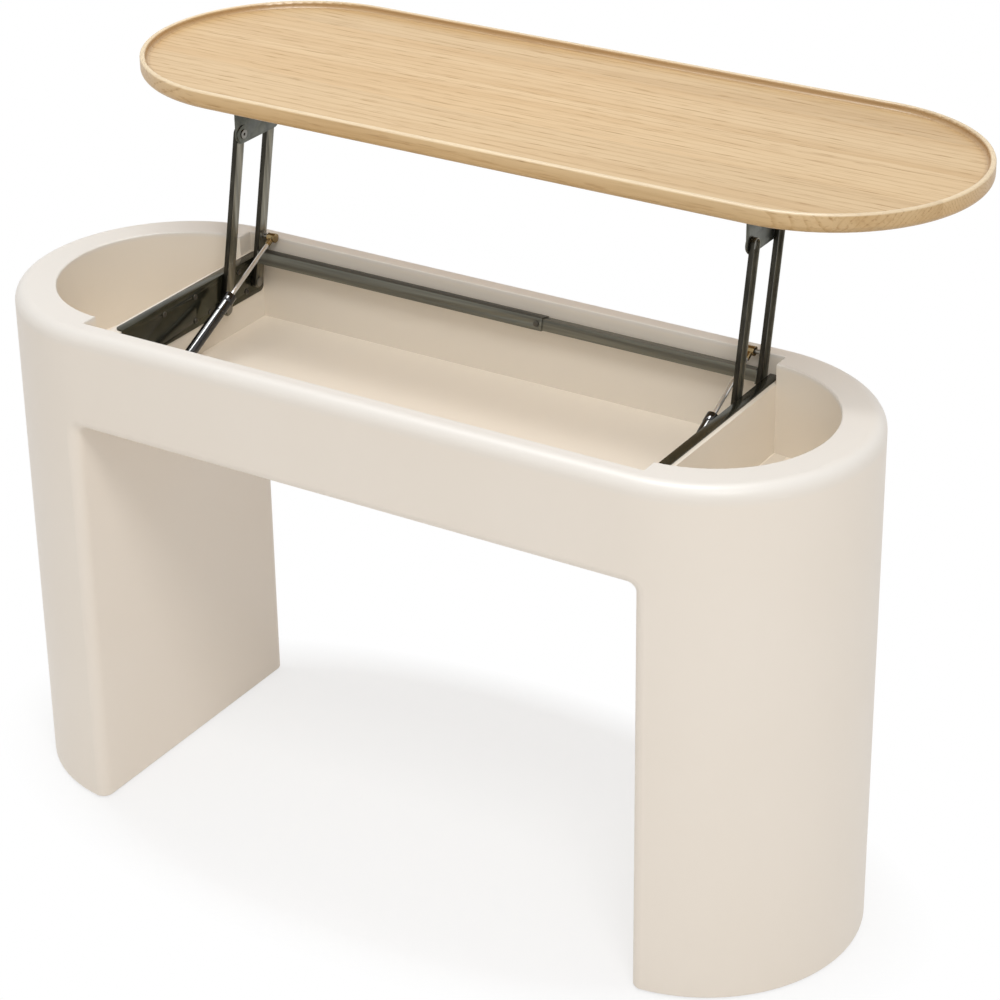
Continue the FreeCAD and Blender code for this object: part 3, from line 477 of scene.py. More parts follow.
def cream_lacquer(name, look, lift):
    """Satin cream lacquer: faint warm clouds, soft waves in the sheen, a paler rim as painted highlight
    and warmer wells as painted shade. lift makes it lighter, as painted light on the floors.
    """
    material, tree, shader = new_finish(name)
    place = place_on_piece(tree)
    cloud = noise(tree, place, (look.cloud_size,) * 3, detail=1.0)
    waves = noise(tree, place, (look.wave_size,) * 3, detail=1.0)
    paint, warm, pale, inside = (
        scaled(shade, 1 + lift) for shade in (look.paint, look.warm, look.pale, look.inside)
    )
    color = blend(tree, spread(tree, cloud, 0.1, 0.9), paint, warm)

    # The rim is paler, a painted highlight. The wells, below the rim and inside the outer faces, are
    # warmer, painted shade of the light that bounces inside them
    low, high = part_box("right_end_shell")
    low.x = -high.x
    parts = add_node(tree, "ShaderNodeSeparateXYZ", {"Vector": place}).outputs
    out, radius = out_from_middle(tree, parts, low, high)
    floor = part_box("storage_floor")[0].z
    rim = fade_in(tree, parts["Z"], high.z, RIM_HIGHLIGHT_DEPTH)
    color = blend(tree, rim, color, pale)
    # Warmer wells: painted shade
    well_shade = fade_in(tree, out, radius, WELL_SHADE_INSET)
    well_shade = sum_up(tree, "MULTIPLY", well_shade, fade_in(tree, parts["Z"], high.z, WELL_SHADE_DEPTH))
    well_shade = sum_up(tree, "MULTIPLY", well_shade, sum_up(tree, "GREATER_THAN", parts["Z"], floor))
    color = blend(tree, well_shade, color, inside)
    roughness = spread(tree, waves, 0.0, 1.0, look.sheen, look.sheen + look.wave_rise)
    finish(tree, shader, color, roughness)
    shader.inputs["Coat Weight"].default_value = look.coat
    shader.inputs["Coat Roughness"].default_value = look.coat_sheen
    return material


def lip_masks(tree, parts):
    """(inner wall and foot of the tray's lip, top of the lip): 1 there, 0 elsewhere; masks for painted
    shade and a painted highlight.
    """
    low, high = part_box("tray_top")
    out, radius = out_from_middle(tree, parts, low, high)
    foot = fade_in(tree, out, radius, LIP_SHADE_FOOT_INSET)
    wall = fade_in(tree, out, radius, LIP_SHADE_WALL_INSET)
    upper = fade_in(tree, parts["Z"], high.z, LIP_SHADE_DEPTH)
    inner = sum_up(tree, "MULTIPLY", sum_up(tree, "MULTIPLY", foot, wall), upper)
    crest = fade_in(tree, out, radius, CREST_HIGHLIGHT_INSET)
    crest = sum_up(tree, "MULTIPLY", crest, fade_in(tree, parts["Z"], high.z, CREST_HIGHLIGHT_DEPTH))
    return inner, crest


def oak(look):
    """Oak staves along the tray: growth rings cut at a slant, pore dashes, darker end grain."""
    material, tree, shader = new_finish("oak")
    place = place_on_piece(tree)
    parts = add_node(tree, "ShaderNodeSeparateXYZ", {"Vector": place}).outputs
    stave = sum_up(tree, "FLOOR", sum_up(tree, "DIVIDE", parts["Y"], look.stave_width), 0.0)
    luck = add_node(tree, "ShaderNodeTexWhiteNoise", {"W": stave}, noise_dimensions="1D")
    chance = luck.outputs["Value"]
    shift = add_node(tree, "ShaderNodeCombineXYZ", {
        "X": sum_up(tree, "MULTIPLY", chance, look.shift_along),
        "Z": sum_up(tree, "MULTIPLY", chance, look.shift_deep),
    })
    moved = add_node(tree, "ShaderNodeVectorMath", {0: place, 1: shift.outputs[0]}).outputs[0]

    # Rings lie at a slant in each stave and wander slowly along it
    wander = noise(tree, moved, WANDER_SPACING, detail=1.0, rough=0.5)
    waver = noise(tree, moved, WAVER_SPACING, detail=2.0, rough=0.5)
    slant = spread(tree, chance, 0.0, 1.0, *RING_SLANT)
    across = sum_up(tree, "ADD", parts["Y"], sum_up(tree, "MULTIPLY", parts["Z"], slant))
    across = sum_up(tree, "ADD", across, sum_up(tree, "MULTIPLY", wander, look.wander))
    across = sum_up(tree, "ADD", across, sum_up(tree, "MULTIPLY", waver, look.waver))
    facing = add_node(tree, "ShaderNodeTexCoord").outputs["Normal"]
    facing = add_node(tree, "ShaderNodeSeparateXYZ", {"Vector": facing}).outputs
    edgewise = sum_up(tree, "LESS_THAN", facing["Z"], 0.6)
    count = sum_up(tree, "DIVIDE", across, look.ring_width)
    count = sum_up(tree, "MULTIPLY", count, spread(tree, edgewise, 0.0, 1.0, 1.0, look.edge_rings))
    ring = sum_up(tree, "FRACT", count, 0.0)
    starts = spread(tree, ring, 0.0, 0.05)
    fades = spread(tree, ring, 0.10, 0.34, 1.0, 0.0)
    lines = sum_up(tree, "MULTIPLY", starts, fades)
    broken = noise(tree, moved, BREAK_SPACING, detail=3.0, rough=0.6)
    lines = sum_up(tree, "MULTIPLY", lines, spread(tree, broken, 0.32, 0.68, *LINE_STRENGTH))
    streak = noise(tree, moved, STREAK_SPACING, detail=2.0, rough=0.6)
    lines = sum_up(tree, "MAXIMUM", lines, spread(tree, streak, 0.52, 0.70, *STREAK_STRENGTH))

    # Broad golden bands, and pores that lie thickest in the ring lines
    band = noise(tree, moved, BAND_SPACING, detail=2.0, rough=0.5)
    fine = look.pore_width
    dash = noise(tree, moved, (fine * PORE_LENGTH, fine, fine), detail=2.0, rough=0.5)
    dash = spread(tree, dash, 0.55, 0.66)
    pores = sum_up(tree, "MULTIPLY", dash, spread(tree, ring, 0.05, 0.6, *PORE_STRENGTH))
    wood = blend(tree, spread(tree, band, 0.42, 0.70), look.pale, look.golden)
    wood = blend(tree, lines, wood, look.line)
    wood = blend(tree, pores, wood, look.pore)

    # Darker end grain; a browner inside of the lip, partly the finish and partly painted shade; its top
    # a painted highlight; painted shade on the rounded underside; the tone of each stave, with painted
    # shade darkening the right end
    endways = sum_up(tree, "ABSOLUTE", facing["X"], 0.0)
    endways = spread(tree, endways, 0.25, 0.95, 0.0, look.end_grain)
    wood = blend(tree, endways, wood, look.line)
    inner, crest = lip_masks(tree, parts)
    wood = blend(tree, sum_up(tree, "MULTIPLY", inner, look.lip_painted_shade), wood, look.brown)
    wood = blend(tree, sum_up(tree, "MULTIPLY", crest, look.lip_highlight), wood, look.crest)
    low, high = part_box("tray_top")
    # Painted shade on the rounded underside
    underside_shade_span = high.z - UNDERSIDE_SHADE_START, low.z + UNDERSIDE_SHADE_FULL
    lower = spread(tree, parts["Z"], *underside_shade_span, 0.0, look.underside_painted_shade)
    lower = sum_up(tree, "MULTIPLY", lower, spread(tree, facing["Z"], 0.5, 0.9, 1.0, 0.0))
    wood = blend(tree, lower, wood, look.line)
    tone = spread(tree, chance, 0.0, 1.0, *STAVE_TONE)
    # Painted shade: the staves darken towards the right end
    right_end_shade = spread(tree, parts["X"], 0.0, high.x * look.right_end_shade_reach, 1.0, 1.0 - look.right_end_shade)
    color = dim(tree, wood, sum_up(tree, "MULTIPLY", tone, right_end_shade))
    roughness = spread(tree, pores, 0.0, 0.4, look.sheen, look.sheen + look.pore_rise)
    height = sum_up(tree, "SUBTRACT", sum_up(tree, "MULTIPLY", lines, -0.5), pores)
    finish(tree, shader, color, roughness, bump(tree, height, strength=0.22, distance=0.0004))
    return material


def coated_steel(name, look_color, roughness, grain, metallic, contrast, painted_shade_face=None):
    """Dark coated steel: tone drawn out along the rolled sheet, fine pitting in the coat.

    grain is the spacing of that tone, contrast its depth. painted_shade_face is (way, reach, tone):
    where the piece reaches that far that way, its tone is lower, as painted shade on that face.
    """
    material, tree, shader = new_finish(name)
    place = place_on_piece(tree)
    drawn = noise(tree, place, grain)
    pitting = noise(tree, place, PIT_SPACING, detail=2.0)
    darker, lighter = scaled(look_color, 1 - contrast), scaled(look_color, 1 + contrast)
    color = blend(tree, spread(tree, drawn, 0.33, 0.67), darker, lighter)
    if painted_shade_face is not None:
        way, reach, tone = painted_shade_face
        ahead = add_node(tree, "ShaderNodeVectorMath", {0: place, 1: way}, operation="DOT_PRODUCT")
        dark = fade_in(tree, ahead.outputs["Value"], reach, PAINTED_SHADE_FACE)
        color = dim(tree, color, spread(tree, dark, 0.0, 1.0, 1.0, tone))
    rough = spread(tree, pitting, 0.3, 0.7, roughness - 0.05, roughness + 0.07)
    finish(tree, shader, color, rough, bump(tree, pitting, strength=0.06, distance=0.0001))
    shader.inputs["Metallic"].default_value = metallic
    return material


def bare_metal(name, look_color, roughness, grain, metallic=1.0):
    """Bare or plated metal with fine tool marks, grain apart, and faint stains."""
    material, tree, shader = new_finish(name)
    place = place_on_piece(tree)
    marks = noise(tree, place, (grain,) * 3)
    stain = noise(tree, place, STAIN_SPACING)
    color = blend(tree, spread(tree, stain, 0.35, 0.75), look_color, scaled(look_color, 0.82))
    rough = spread(tree, marks, 0.3, 0.7, roughness * 0.75, roughness * 1.3)
    finish(tree, shader, color, rough, bump(tree, marks, strength=0.06, distance=0.0001))
    shader.inputs["Metallic"].default_value = metallic
    return material


def strut_black(look):
    """Gloss black of the struts with faint dust in the gloss."""
    material, tree, shader = new_finish("strut_black")
    place = place_on_piece(tree)
    dust = noise(tree, place, DUST_SPACING, detail=4.0)
    color = blend(tree, spread(tree, dust, 0.4, 0.75), look.black, scaled(look.black, 1.6))
    rough = spread(tree, dust, 0.35, 0.75, 0.07, 0.12)
    finish(tree, shader, color, rough, bump(tree, dust, strength=0.02, distance=0.0001))
    shader.inputs["Specular IOR Level"].default_value = 0.75
    return material


def fibre_board(look):
    """Raw fibre board with short darker fibres."""
    material, tree, shader = new_finish("base_board")
    place = place_on_piece(tree)
    fibres = noise(tree, place, FIBRE_SPACING, detail=5.0, rough=0.65, twist=0.6)
    color = blend(tree, spread(tree, fibres, 0.4, 0.68), look.fibre, look.fleck)
    rough = spread(tree, fibres, 0.3, 0.7, 0.72, 0.88)
    finish(tree, shader, color, rough, bump(tree, fibres, strength=0.2, distance=0.0004))
    return material


def glide_plastic(look):
    """Dark moulded plastic with a fine texture."""
    material, tree, shader = new_finish("glide_plastic")
    place = place_on_piece(tree)
    texture = noise(tree, place, GRAIN_SPACING, detail=2.0)
    scuff = noise(tree, place, SCUFF_SPACING, detail=4.0)
    color = blend(tree, spread(tree, scuff, 0.45, 0.75), look.plastic, scaled(look.plastic, 1.7))
    rough = spread(tree, texture, 0.3, 0.7, 0.5, 0.64)
    finish(tree, shader, color, rough, bump(tree, texture, strength=0.12, distance=0.0002))
    return material


# Modelling helpers

def nothing_selected():
    """Leaves object mode with nothing selected."""
    active = bpy.context.view_layer.objects.active
    if active is not None and active.mode != "OBJECT":
        bpy.ops.object.mode_set(mode="OBJECT")
    bpy.ops.object.select_all(action="DESELECT")


def select_only(piece):
    """Leaves object mode with this piece alone selected and active."""
    nothing_selected()
    piece.select_set(True)
    bpy.context.view_layer.objects.active = piece


def dress(piece, material):
    """Gives a piece or a node one finish."""
    piece.data.materials.clear()
    piece.data.materials.append(material)


def dress_nodes(names, material):
    """Gives CAD nodes one finish."""
    for name in names:
        if name not in frame["nodes"]:
            raise RuntimeError("no node " + name)
        dress(frame["nodes"][name], material)


def stand_in_place(piece, node_name, material):
    """The piece takes over a CAD node, which is hidden: finish and body."""
    dress(piece, material)
    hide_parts(node_name)
    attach(piece, body_of(frame["nodes"][node_name])[0])


def eased_copy(node_name, ease):
    """A copy of a CAD node, merged, with broken edges."""
    source = frame["nodes"][node_name]
    piece = bpy.data.objects.new(node_name + "_eased", source.data.copy())
    bpy.context.scene.collection.objects.link(piece)
    select_only(piece)
    bpy.ops.mesh.customdata_custom_splitnormals_clear()
    bpy.ops.object.mode_set(mode="EDIT")
    bpy.ops.mesh.select_all(action="SELECT")
    bpy.ops.mesh.remove_doubles(threshold=MERGE_DISTANCE)
    bpy.ops.mesh.dissolve_limited(angle_limit=FLAT_ANGLE)
    bpy.ops.object.mode_set(mode="OBJECT")
    edge = piece.modifiers.new("Eased edges", "BEVEL")
    edge.limit_method = "ANGLE"
    edge.angle_limit = EASE_ANGLE
    edge.width = ease
    edge.segments = EASE_STEPS
    bpy.ops.object.modifier_apply(modifier=edge.name)
    bpy.ops.object.shade_smooth_by_angle(angle=SHARP_ANGLE)
    return piece


def ease_node(node_name, ease, material):
    """A copy with broken edges takes over a CAD node."""
    stand_in_place(eased_copy(node_name, ease), node_name, material)


def loose_boxes(node_name):
    """Boxes (low, high) of the separate solids in a CAD node."""
    work = bmesh.new()
    work.from_mesh(frame["nodes"][node_name].data)
    bmesh.ops.remove_doubles(work, verts=work.verts, dist=MERGE_DISTANCE)
    seen, boxes = set(), []
    for start in work.verts:
        if start in seen:
            continue
        seen.add(start)
        queue, island = [start], []
        while queue:
            corner = queue.pop()
            island.append(corner.co.copy())
            for edge in corner.link_edges:
                other = edge.other_vert(corner)
                if other not in seen:
                    seen.add(other)
                    queue.append(other)
        low = Vector(min(c[i] for c in island) for i in range(3))
        high = Vector(max(c[i] for c in island) for i in range(3))
        boxes.append((low, high))
    work.free()
    return boxes


def carve(piece, cutters):
    """Cuts pieces out of another and removes them."""
    for cutter in cutters:
        select_only(piece)
        cut = piece.modifiers.new("Recess", "BOOLEAN")
        cut.operation = "DIFFERENCE"
        cut.solver = "EXACT"
        cut.object = cutter
        bpy.ops.object.modifier_apply(modifier=cut.name)
        bpy.data.objects.remove(cutter)


def faces_facing(piece, direction, least=0.99):
    """In edit mode, selects the faces that look one way."""
    bpy.ops.mesh.select_mode(type="FACE")
    bpy.ops.mesh.select_all(action="DESELECT")
    work = bmesh.from_edit_mesh(piece.data)
    for face in work.faces:
        face.select = face.normal.dot(direction) > least
    work.select_flush_mode()
    bmesh.update_edit_mesh(piece.data)


def pan_head_screw(sizes, head_radius, shank_radius, bite):
    """One screw at the origin: head on +Z above 0, tapered shank below, cross recess in the head."""
    head_height = sizes.head_height
    nothing_selected()
    bpy.ops.mesh.primitive_cylinder_add(
        vertices=sizes.facets, radius=head_radius, depth=head_height,
        location=(0, 0, head_height / 2),
    )
    screw = bpy.context.object
    bpy.ops.object.transform_apply(location=True)
    bpy.ops.object.mode_set(mode="EDIT")
    up, down = Vector((0, 0, 1)), Vector((0, 0, -1))
    faces_facing(screw, up)
    bpy.ops.mesh.bevel(offset=head_height * sizes.head_round, segments=ROUND_STEPS, affect="EDGES")
    faces_facing(screw, down)
    bpy.ops.mesh.inset(thickness=head_radius - shank_radius)
    for part in (1 - sizes.tip, sizes.tip):
        bpy.ops.mesh.extrude_region_move(TRANSFORM_OT_translate={"value": (0, 0, -bite * part)})
    bpy.ops.transform.resize(value=(sizes.tip, sizes.tip, 1.0))
    bpy.ops.object.mode_set(mode="OBJECT")
    cutters = []
    for size in ((sizes.recess_arm, sizes.recess_width), (sizes.recess_width, sizes.recess_arm)):
        nothing_selected()
        bpy.ops.mesh.primitive_cube_add(size=1, location=(0, 0, head_height))
        cutter = bpy.context.object
        cutter.scale = (*size, 2 * sizes.recess_depth)
        bpy.ops.object.transform_apply(location=True, scale=True)
        cutters.append(cutter)
    carve(screw, cutters)
    select_only(screw)
    bpy.ops.object.shade_smooth_by_angle(angle=SHARP_ANGLE)
    return screw


def screws_for(node_name, head_way, sizes, material):
    """Puts a cross-recessed screw where each screw of a CAD node is. head_way is the heads' side."""
    boxes = loose_boxes(node_name)
    axis = max(range(3), key=lambda i: abs(head_way[i]))
    across = (axis + 1) % 3
    low, high = boxes[0]
    head_radius = (high[across] - low[across]) / 2
    whole = high[axis] - low[axis]
    head_height = sizes.head_height
    pattern = pan_head_screw(sizes, head_radius, head_radius / 2, whole - head_height)
    turn = Vector((0, 0, 1)).rotation_difference(head_way).to_euler()
    copies = []
    for number, (low, high) in enumerate(boxes):
        seat = (low + high) / 2
        top = high[axis] if head_way[axis] > 0 else low[axis]
        seat[axis] = top - head_way[axis] * head_height
        copy = bpy.data.objects.new(f"{node_name}_{number}", pattern.data.copy())
        bpy.context.scene.collection.objects.link(copy)
        copy.location = seat
        copy.rotation_euler = turn
        copies.append(copy)
    bpy.data.objects.remove(pattern)
    nothing_selected()
    for copy in copies:
        copy.select_set(True)
    bpy.context.view_layer.objects.active = copies[0]
    bpy.ops.object.transform_apply(location=True, rotation=True)
    bpy.ops.object.join()
    made = bpy.context.object
    made.name = node_name + "_cross_recessed"
    stand_in_place(made, node_name, material)


def turned(name, profile, origin, axis, facets):
    """Turns a closed profile of (along, radius) points about an axis."""
    side = axis.cross(Vector((1, 0, 0))).normalized()
    points = [origin + axis * along + side * radius for along, radius in profile]
    nothing_selected()
    bpy.ops.mesh.primitive_plane_add(size=START_SIZE, location=points[0])
    piece = bpy.context.object
    piece.name = name
    bpy.ops.object.transform_apply(location=True)
    bpy.ops.object.mode_set(mode="EDIT")
    bpy.ops.mesh.select_mode(type="VERT")
    bpy.ops.mesh.select_all(action="SELECT")
    bpy.ops.mesh.merge(type="CENTER")
    for before, after in zip(points, points[1:] + points[:1]):
        bpy.ops.mesh.extrude_region_move(TRANSFORM_OT_translate={"value": after - before})
    bpy.ops.mesh.select_all(action="SELECT")
    bpy.ops.mesh.remove_doubles(threshold=MERGE_DISTANCE)
    bpy.ops.mesh.select_all(action="SELECT")
    bpy.ops.mesh.spin(steps=facets, angle=FULL_TURN, center=origin, axis=axis)
    bpy.ops.mesh.select_all(action="SELECT")
    bpy.ops.mesh.remove_doubles(threshold=MERGE_DISTANCE)
    bpy.ops.mesh.normals_make_consistent(inside=False)
    bpy.ops.object.mode_set(mode="OBJECT")
    bpy.ops.object.shade_smooth_by_angle(angle=TURNED_SHARP_ANGLE)
    return piece


def strut_line(side):
    """(ball centre, direction from the foot to the ball) of one strut."""
    low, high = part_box(side + "_strut_rod")
    ball = Vector(JOINTS[side + "_strut_swivel"]["pos_m"])
    ball.x = (low.x + high.x) / 2
    return ball, Vector(JOINTS[side + "_strut_stroke"]["axis"]).normalized()


def arm_ways():
    """(way up along the raised arms, way their narrow front faces look)."""
    rise = Vector(JOINTS["top_level"]["pos_m"]) - Vector(JOINTS["lift"]["pos_m"])
    along = Vector((0, rise.y, rise.z)).normalized()
    return along, Vector((0, -along.z, along.y))


def face_toward(node_name, way, tone):
    """(way, reach, tone) of the face of a node that looks one way, for painted shade there."""
    reach = max(way.dot(corner.co) for corner in frame["nodes"][node_name].data.vertices)
    return way, reach, tone


def reach_along(node_name, origin, axis):
    """(nearest, farthest, radius) of a node along and round an axis."""
    along, out = [], []
    for corner in frame["nodes"][node_name].data.vertices:
        step = (corner.co - origin).dot(axis)
        along.append(step)
        out.append((corner.co - origin - axis * step).length)
    return min(along), max(along), max(out)


def strut_profile(foot, mouth, radius, sizes):
    """Section of a strut cylinder: closed round foot, rolled groove near the open mouth, bore."""
    bore = radius - sizes.wall
    bottom = foot + sizes.end_wall
    groove = mouth - sizes.groove_place
    deep = radius - sizes.groove_depth
    half = sizes.groove_width / 2
    flat = half * sizes.groove_flat
    corner = sizes.end_round
    turns = [QUARTER_TURN * step / ROUND_STEPS for step in range(ROUND_STEPS, -1, -1)]
    rounding = [
        (foot + corner * (1 - math.sin(turn)), radius - corner * (1 - math.cos(turn)))
        for turn in turns
    ]
    return [
        (foot, 0.0), *rounding,
        (groove - half, radius), (groove - flat, deep), (groove + flat, deep), (groove + half, radius),
        (mouth, radius), (mouth, bore), (bottom, bore), (bottom, 0.0),
    ]


# Operators

class ConsoleCarcass(bpy.types.Operator):
    """Paints the end shells, aprons, dividers and floors"""

    bl_idname = "console.carcass"
    bl_label = "Carcass"

    def execute(self, context):
        look = context.scene.console_lacquer
        walls, floors = ["front_apron", "rear_apron"], ["storage_floor"]
        for side in SIDES:
            walls += [side + "_end_shell", side + "_divider"]
            floors.append(side + "_pocket_floor")
        dress_nodes(walls, cream_lacquer("cream_lacquer", look, 0.0))
        # The floors are a lighter copy of the lacquer: painted light
        dress_nodes(floors, cream_lacquer("cream_lacquer_floor_painted_light", look, look.floor_painted_light))
        return {"FINISHED"}


class ConsoleFeet(bpy.types.Operator):
    """Finishes the boards under the legs and the glides"""

    bl_idname = "console.feet"
    bl_label = "Feet"

    def execute(self, context):
        look = context.scene.console_board
        dress_nodes([side + "_leg_base" for side in SIDES], fibre_board(look))
        ease_node("glides", look.glide_ease, glide_plastic(look))
        return {"FINISHED"}


class ConsoleTray(bpy.types.Operator):
    """Gives the lifting tray its oak"""

    bl_idname = "console.tray"
    bl_label = "Oak tray"

    def execute(self, context):
        dress_nodes(["tray_top"], oak(context.scene.console_oak))
        return {"FINISHED"}


class ConsoleLift(bpy.types.Operator):
    """Breaks the edges of the rails, arms, brackets and cross tube, and coats them"""

    bl_idname = "console.lift"
    bl_label = "Lift arms and rails"

    def execute(self, context):
        look = context.scene.console_steel
        bracket = coated_steel(
            "bracket_steel", look.bracket, look.matt, BRACKET_GRAIN, metallic=0.9, contrast=0.3
        )
        rail = coated_steel(
            "rail_steel", look.rail, look.satin, RAIL_GRAIN, metallic=0.8, contrast=0.45
        )
        along, forward = arm_ways()
        for part in ("front_arm", "rear_arm"):
            # Painted shade on the arms' narrow front faces
            front = face_toward("left_" + part, forward, look.front_painted_shade)
            arm = coated_steel(
                part + "_steel", look.arm, look.matt, ARM_GRAIN, metallic=0.9, contrast=0.38,
                painted_shade_face=front,
            )
            for side in SIDES:
                ease_node(side + "_" + part, look.ease, arm)
        for side in SIDES:
            ease_node(side + "_top_bracket", look.ease, bracket)
            for part in ("base_rail", "anchor_plate"):
                ease_node(side + "_" + part, look.ease, rail)
        for name in ("cross_tube_inner", "cross_tube_outer"):
            # Painted shade on the cross tube's top face
            top = face_toward(name, along, look.top_painted_shade)
            tube = coated_steel(
                name + "_steel", look.tube, look.matt, TUBE_GRAIN, metallic=0.6, contrast=0.30,
                painted_shade_face=top,
            )
            ease_node(name, look.ease, tube)
        return {"FINISHED"}


class ConsolePins(bpy.types.Operator):
    """Eases and finishes the pivot pins, and finishes the ball studs"""

    bl_idname = "console.pins"
    bl_label = "Pivot pins"

    def execute(self, context):
        look = context.scene.console_steel
        pin = bare_metal("pin_steel", look.pin, roughness=0.38, grain=0.002)
        for side in SIDES:
            for part in ("base_pins", "top_pins"):
                ease_node(side + "_" + part, look.ease, pin)
        dress_nodes([side + "_ball_stud" for side in SIDES], pin)
        return {"FINISHED"}


class ConsoleScrews(bpy.types.Operator):
    """Models the cross-recessed screws of the rails and brackets, and eases the set screw"""

    bl_idname = "console.screws"
    bl_label = "Screws"

    def execute(self, context):
        look = context.scene.console_steel
        sizes = context.scene.console_hardware
        steel = bare_metal("screw_steel", look.screw, roughness=0.40, grain=0.0015)
        screws_for("left_rail_screws", Vector((1, 0, 0)), sizes, steel)
        screws_for("right_rail_screws", Vector((-1, 0, 0)), sizes, steel)
        screws_for("bracket_screws", Vector((0, 0, -1)), sizes, steel)
        ease_node("set_screw", look.ease, steel)
        return {"FINISHED"}


class ConsoleStruts(bpy.types.Operator):
    """Turns the strut cylinders, eases the collars, eyes and sockets, and finishes the rods"""

    bl_idname = "console.struts"
    bl_label = "Gas struts"

    def execute(self, context):
        look = context.scene.console_steel
        sizes = context.scene.console_hardware
        black = strut_black(look)
        brass = bare_metal("brass", look.brass, roughness=0.20, grain=0.0015)
        chrome = bare_metal("chrome", look.chrome, roughness=0.10, grain=0.006, metallic=0.7)
        for side in SIDES:
            ball, way = strut_line(side)
            name = side + "_strut_cylinder"
            profile = strut_profile(*reach_along(name, ball, way), sizes)
            body = turned(name + "_turned", profile, ball, way, sizes.facets)
            stand_in_place(body, name, black)
            for part in ("strut_collar", "strut_eye"):
                ease_node(side + "_" + part, look.ease, black)
            ease_node(side + "_strut_socket", look.ease, brass)
            dress_nodes([side + "_strut_rod"], chrome)
        return {"FINISHED"}


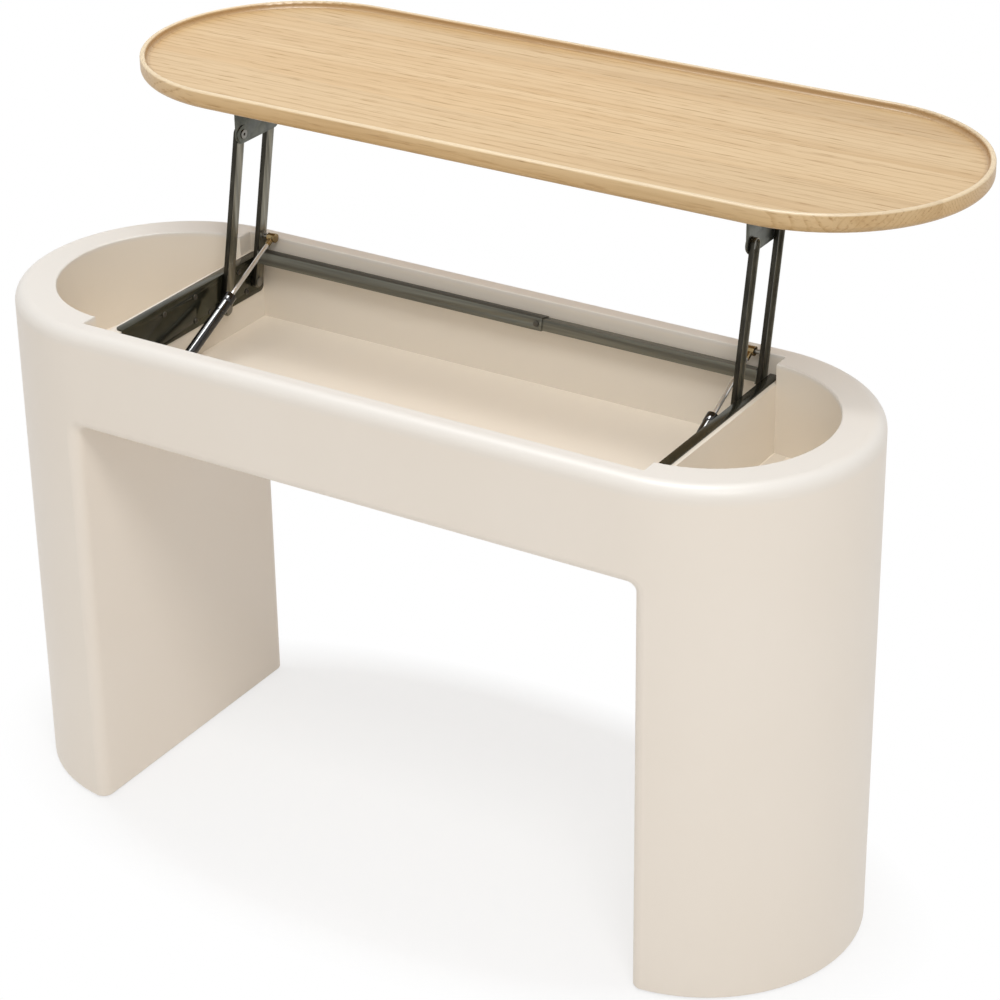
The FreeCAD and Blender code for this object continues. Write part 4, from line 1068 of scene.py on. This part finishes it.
class ConsoleStudio(bpy.types.Operator):
    """Sets the floor, the soft light and the camera"""

    bl_idname = "console.studio"
    bl_label = "Studio"

    def execute(self, context):
        stage = context.scene.console_stage
        context.scene.view_settings.view_transform = "Standard"
        self.floor(stage)
        self.room(context.scene, stage)
        target = (CAD_LOW + CAD_HIGH) / 2
        level = Vector((1, 0, 0))
        self.lamp("Key", stage.key_place, (stage.key_size, stage.key_size), stage.key, target, level)
        fill_sides = (stage.fill_reach, stage.fill_size)
        way = Vector(stage.lamp_way)
        self.lamp("Fill", stage.fill_place, fill_sides, stage.fill, target, way)
        gloss_sides = (stage.gloss_reach, stage.gloss_size)
        gloss = self.lamp("Gloss", stage.gloss_place, gloss_sides, stage.gloss, target, way)
        gloss.visible_diffuse = False
        self.camera(context.scene, stage)
        return {"FINISHED"}

    @staticmethod
    def seen_directly(tree):
        """1 where the camera, a reflection or glass sees the surface."""
        path = add_node(tree, "ShaderNodeLightPath").outputs
        seen = sum_up(tree, "MAXIMUM", path["Is Camera Ray"], path["Is Glossy Ray"])
        return sum_up(tree, "MAXIMUM", seen, path["Is Transmission Ray"])

    def floor(self, stage):
        """A pale floor with the table's shadow in an ellipse round the legs, plain white beyond it."""
        nothing_selected()
        bpy.ops.mesh.primitive_plane_add(size=stage.floor_size, location=(0, 0, CAD_LOW.z))
        floor = bpy.context.object
        floor.name = "floor"
        bpy.ops.object.transform_apply(location=True)
        material = bpy.data.materials.new("pale_floor")
        material.use_nodes = True
        tree = material.node_tree
        tree.nodes.clear()
        matt = add_node(tree, "ShaderNodeBsdfDiffuse", {"Color": (*stage.floor_tone, 1.0)})
        white = add_node(tree, "ShaderNodeEmission", {"Strength": 1.0})
        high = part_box("right_end_shell")[1]
        ellipse = add_node(tree, "ShaderNodeMapping", {
            "Vector": place_on_piece(tree),
            "Scale": (1 / (high.x + stage.shadow_long), 1 / (high.y + stage.shadow_wide), 0.0),
        })
        away = add_node(
            tree, "ShaderNodeVectorMath", {0: ellipse.outputs[0]}, operation="LENGTH"
        ).outputs["Value"]
        soft = stage.shadow_edge
        fade = spread(tree, away, 1 - soft, 1 + soft, stage.floor_white, 1.0)
        factor = sum_up(tree, "MULTIPLY", fade, self.seen_directly(tree))
        mixed = add_node(tree, "ShaderNodeMixShader", {
            0: factor, 1: matt.outputs[0], 2: white.outputs[0],
        })
        add_node(tree, "ShaderNodeOutputMaterial", {"Surface": mixed.outputs[0]})
        dress(floor, material)

    def room(self, scene, stage):
        """Even room light, white where it is seen."""
        world = bpy.data.worlds.new("Room")
        scene.world = world
        world.use_nodes = True
        tree = world.node_tree
        tree.nodes.clear()
        light = add_node(tree, "ShaderNodeBackground", {"Color": WHITE, "Strength": stage.sky})
        white = add_node(tree, "ShaderNodeBackground", {"Color": WHITE, "Strength": 1.0})
        mixed = add_node(tree, "ShaderNodeMixShader", {
            0: self.seen_directly(tree), 1: light.outputs[0], 2: white.outputs[0],
        })
        add_node(tree, "ShaderNodeOutputWorld", {"Surface": mixed.outputs[0]})

    @staticmethod
    def lamp(name, place, sides, watts, target, long_way):
        """A soft lamp turned to the table, its long side lying along a way."""
        nothing_selected()
        place = Vector(place)
        back = (place - target).normalized()
        up = back.cross(long_way).normalized()
        turn = Matrix((up.cross(back), up, back)).transposed().to_euler()
        bpy.ops.object.light_add(type="AREA", location=place, rotation=turn)
        lamp = bpy.context.object
        lamp.name = name
        lamp.data.shape = "RECTANGLE"
        lamp.data.size, lamp.data.size_y = sides
        lamp.data.energy = watts
        return lamp

    @staticmethod
    def camera(scene, stage):
        """The camera at its place, turned by azimuth, elevation and roll."""
        nothing_selected()
        turn, rise = stage.azimuth, stage.elevation
        back = Vector((
            math.sin(turn) * math.cos(rise), -math.cos(turn) * math.cos(rise), math.sin(rise)
        ))
        right = Vector((math.cos(turn), math.sin(turn), 0))
        up = back.cross(right)
        rolled_right = right * math.cos(stage.roll) + up * math.sin(stage.roll)
        rolled_up = up * math.cos(stage.roll) - right * math.sin(stage.roll)
        axes = Matrix((rolled_right, rolled_up, back)).transposed()
        bpy.ops.object.camera_add(location=stage.camera_place, rotation=axes.to_euler())
        camera = bpy.context.object
        camera.name = "camera"
        camera.data.sensor_width = stage.film_width
        camera.data.lens = stage.lens
        camera.data.shift_x = stage.shift_x
        camera.data.shift_y = stage.shift_y
        camera.data.clip_end = stage.far_end
        scene.camera = camera


OPERATORS = (
    ConsoleCarcass, ConsoleFeet, ConsoleTray, ConsoleLift, ConsolePins, ConsoleScrews,
    ConsoleStruts, ConsoleStudio,
)
SETTINGS = {
    "console_lacquer": ConsoleLacquer,
    "console_oak": ConsoleOak,
    "console_steel": ConsoleSteel,
    "console_board": ConsoleBoard,
    "console_hardware": ConsoleHardware,
    "console_stage": ConsoleStage,
}


class ConsolePanel(bpy.types.Panel):
    """Lists the steps and settings of the console table"""

    bl_idname = "VIEW3D_PT_console_table"
    bl_label = "Console table"
    bl_space_type = "VIEW_3D"
    bl_region_type = "UI"
    bl_category = "Console table"

    def draw(self, context):
        for step in OPERATORS:
            self.layout.operator(step.bl_idname)
        for name in SETTINGS:
            group = getattr(context.scene, name)
            box = self.layout.box()
            for setting in group.bl_rna.properties:
                if not setting.is_readonly and setting.identifier != "name":
                    box.prop(group, setting.identifier)


def register():
    """Registers the settings, the operators and the panel."""
    for name, group in SETTINGS.items():
        bpy.utils.register_class(group)
        setattr(bpy.types.Scene, name, PointerProperty(type=group))
    for step in (*OPERATORS, ConsolePanel):
        bpy.utils.register_class(step)


def unregister():
    """Removes the panel, the operators and the settings."""
    for step in (ConsolePanel, *reversed(OPERATORS)):
        bpy.utils.unregister_class(step)
    for name, group in reversed(SETTINGS.items()):
        delattr(bpy.types.Scene, name)
        bpy.utils.unregister_class(group)


def main():
    """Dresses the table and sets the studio."""
    register()
    bpy.ops.console.carcass()
    bpy.ops.console.feet()
    bpy.ops.console.tray()
    bpy.ops.console.lift()
    bpy.ops.console.pins()
    bpy.ops.console.screws()
    bpy.ops.console.struts()
    bpy.ops.console.studio()


if __name__ == "__main__":
    main()
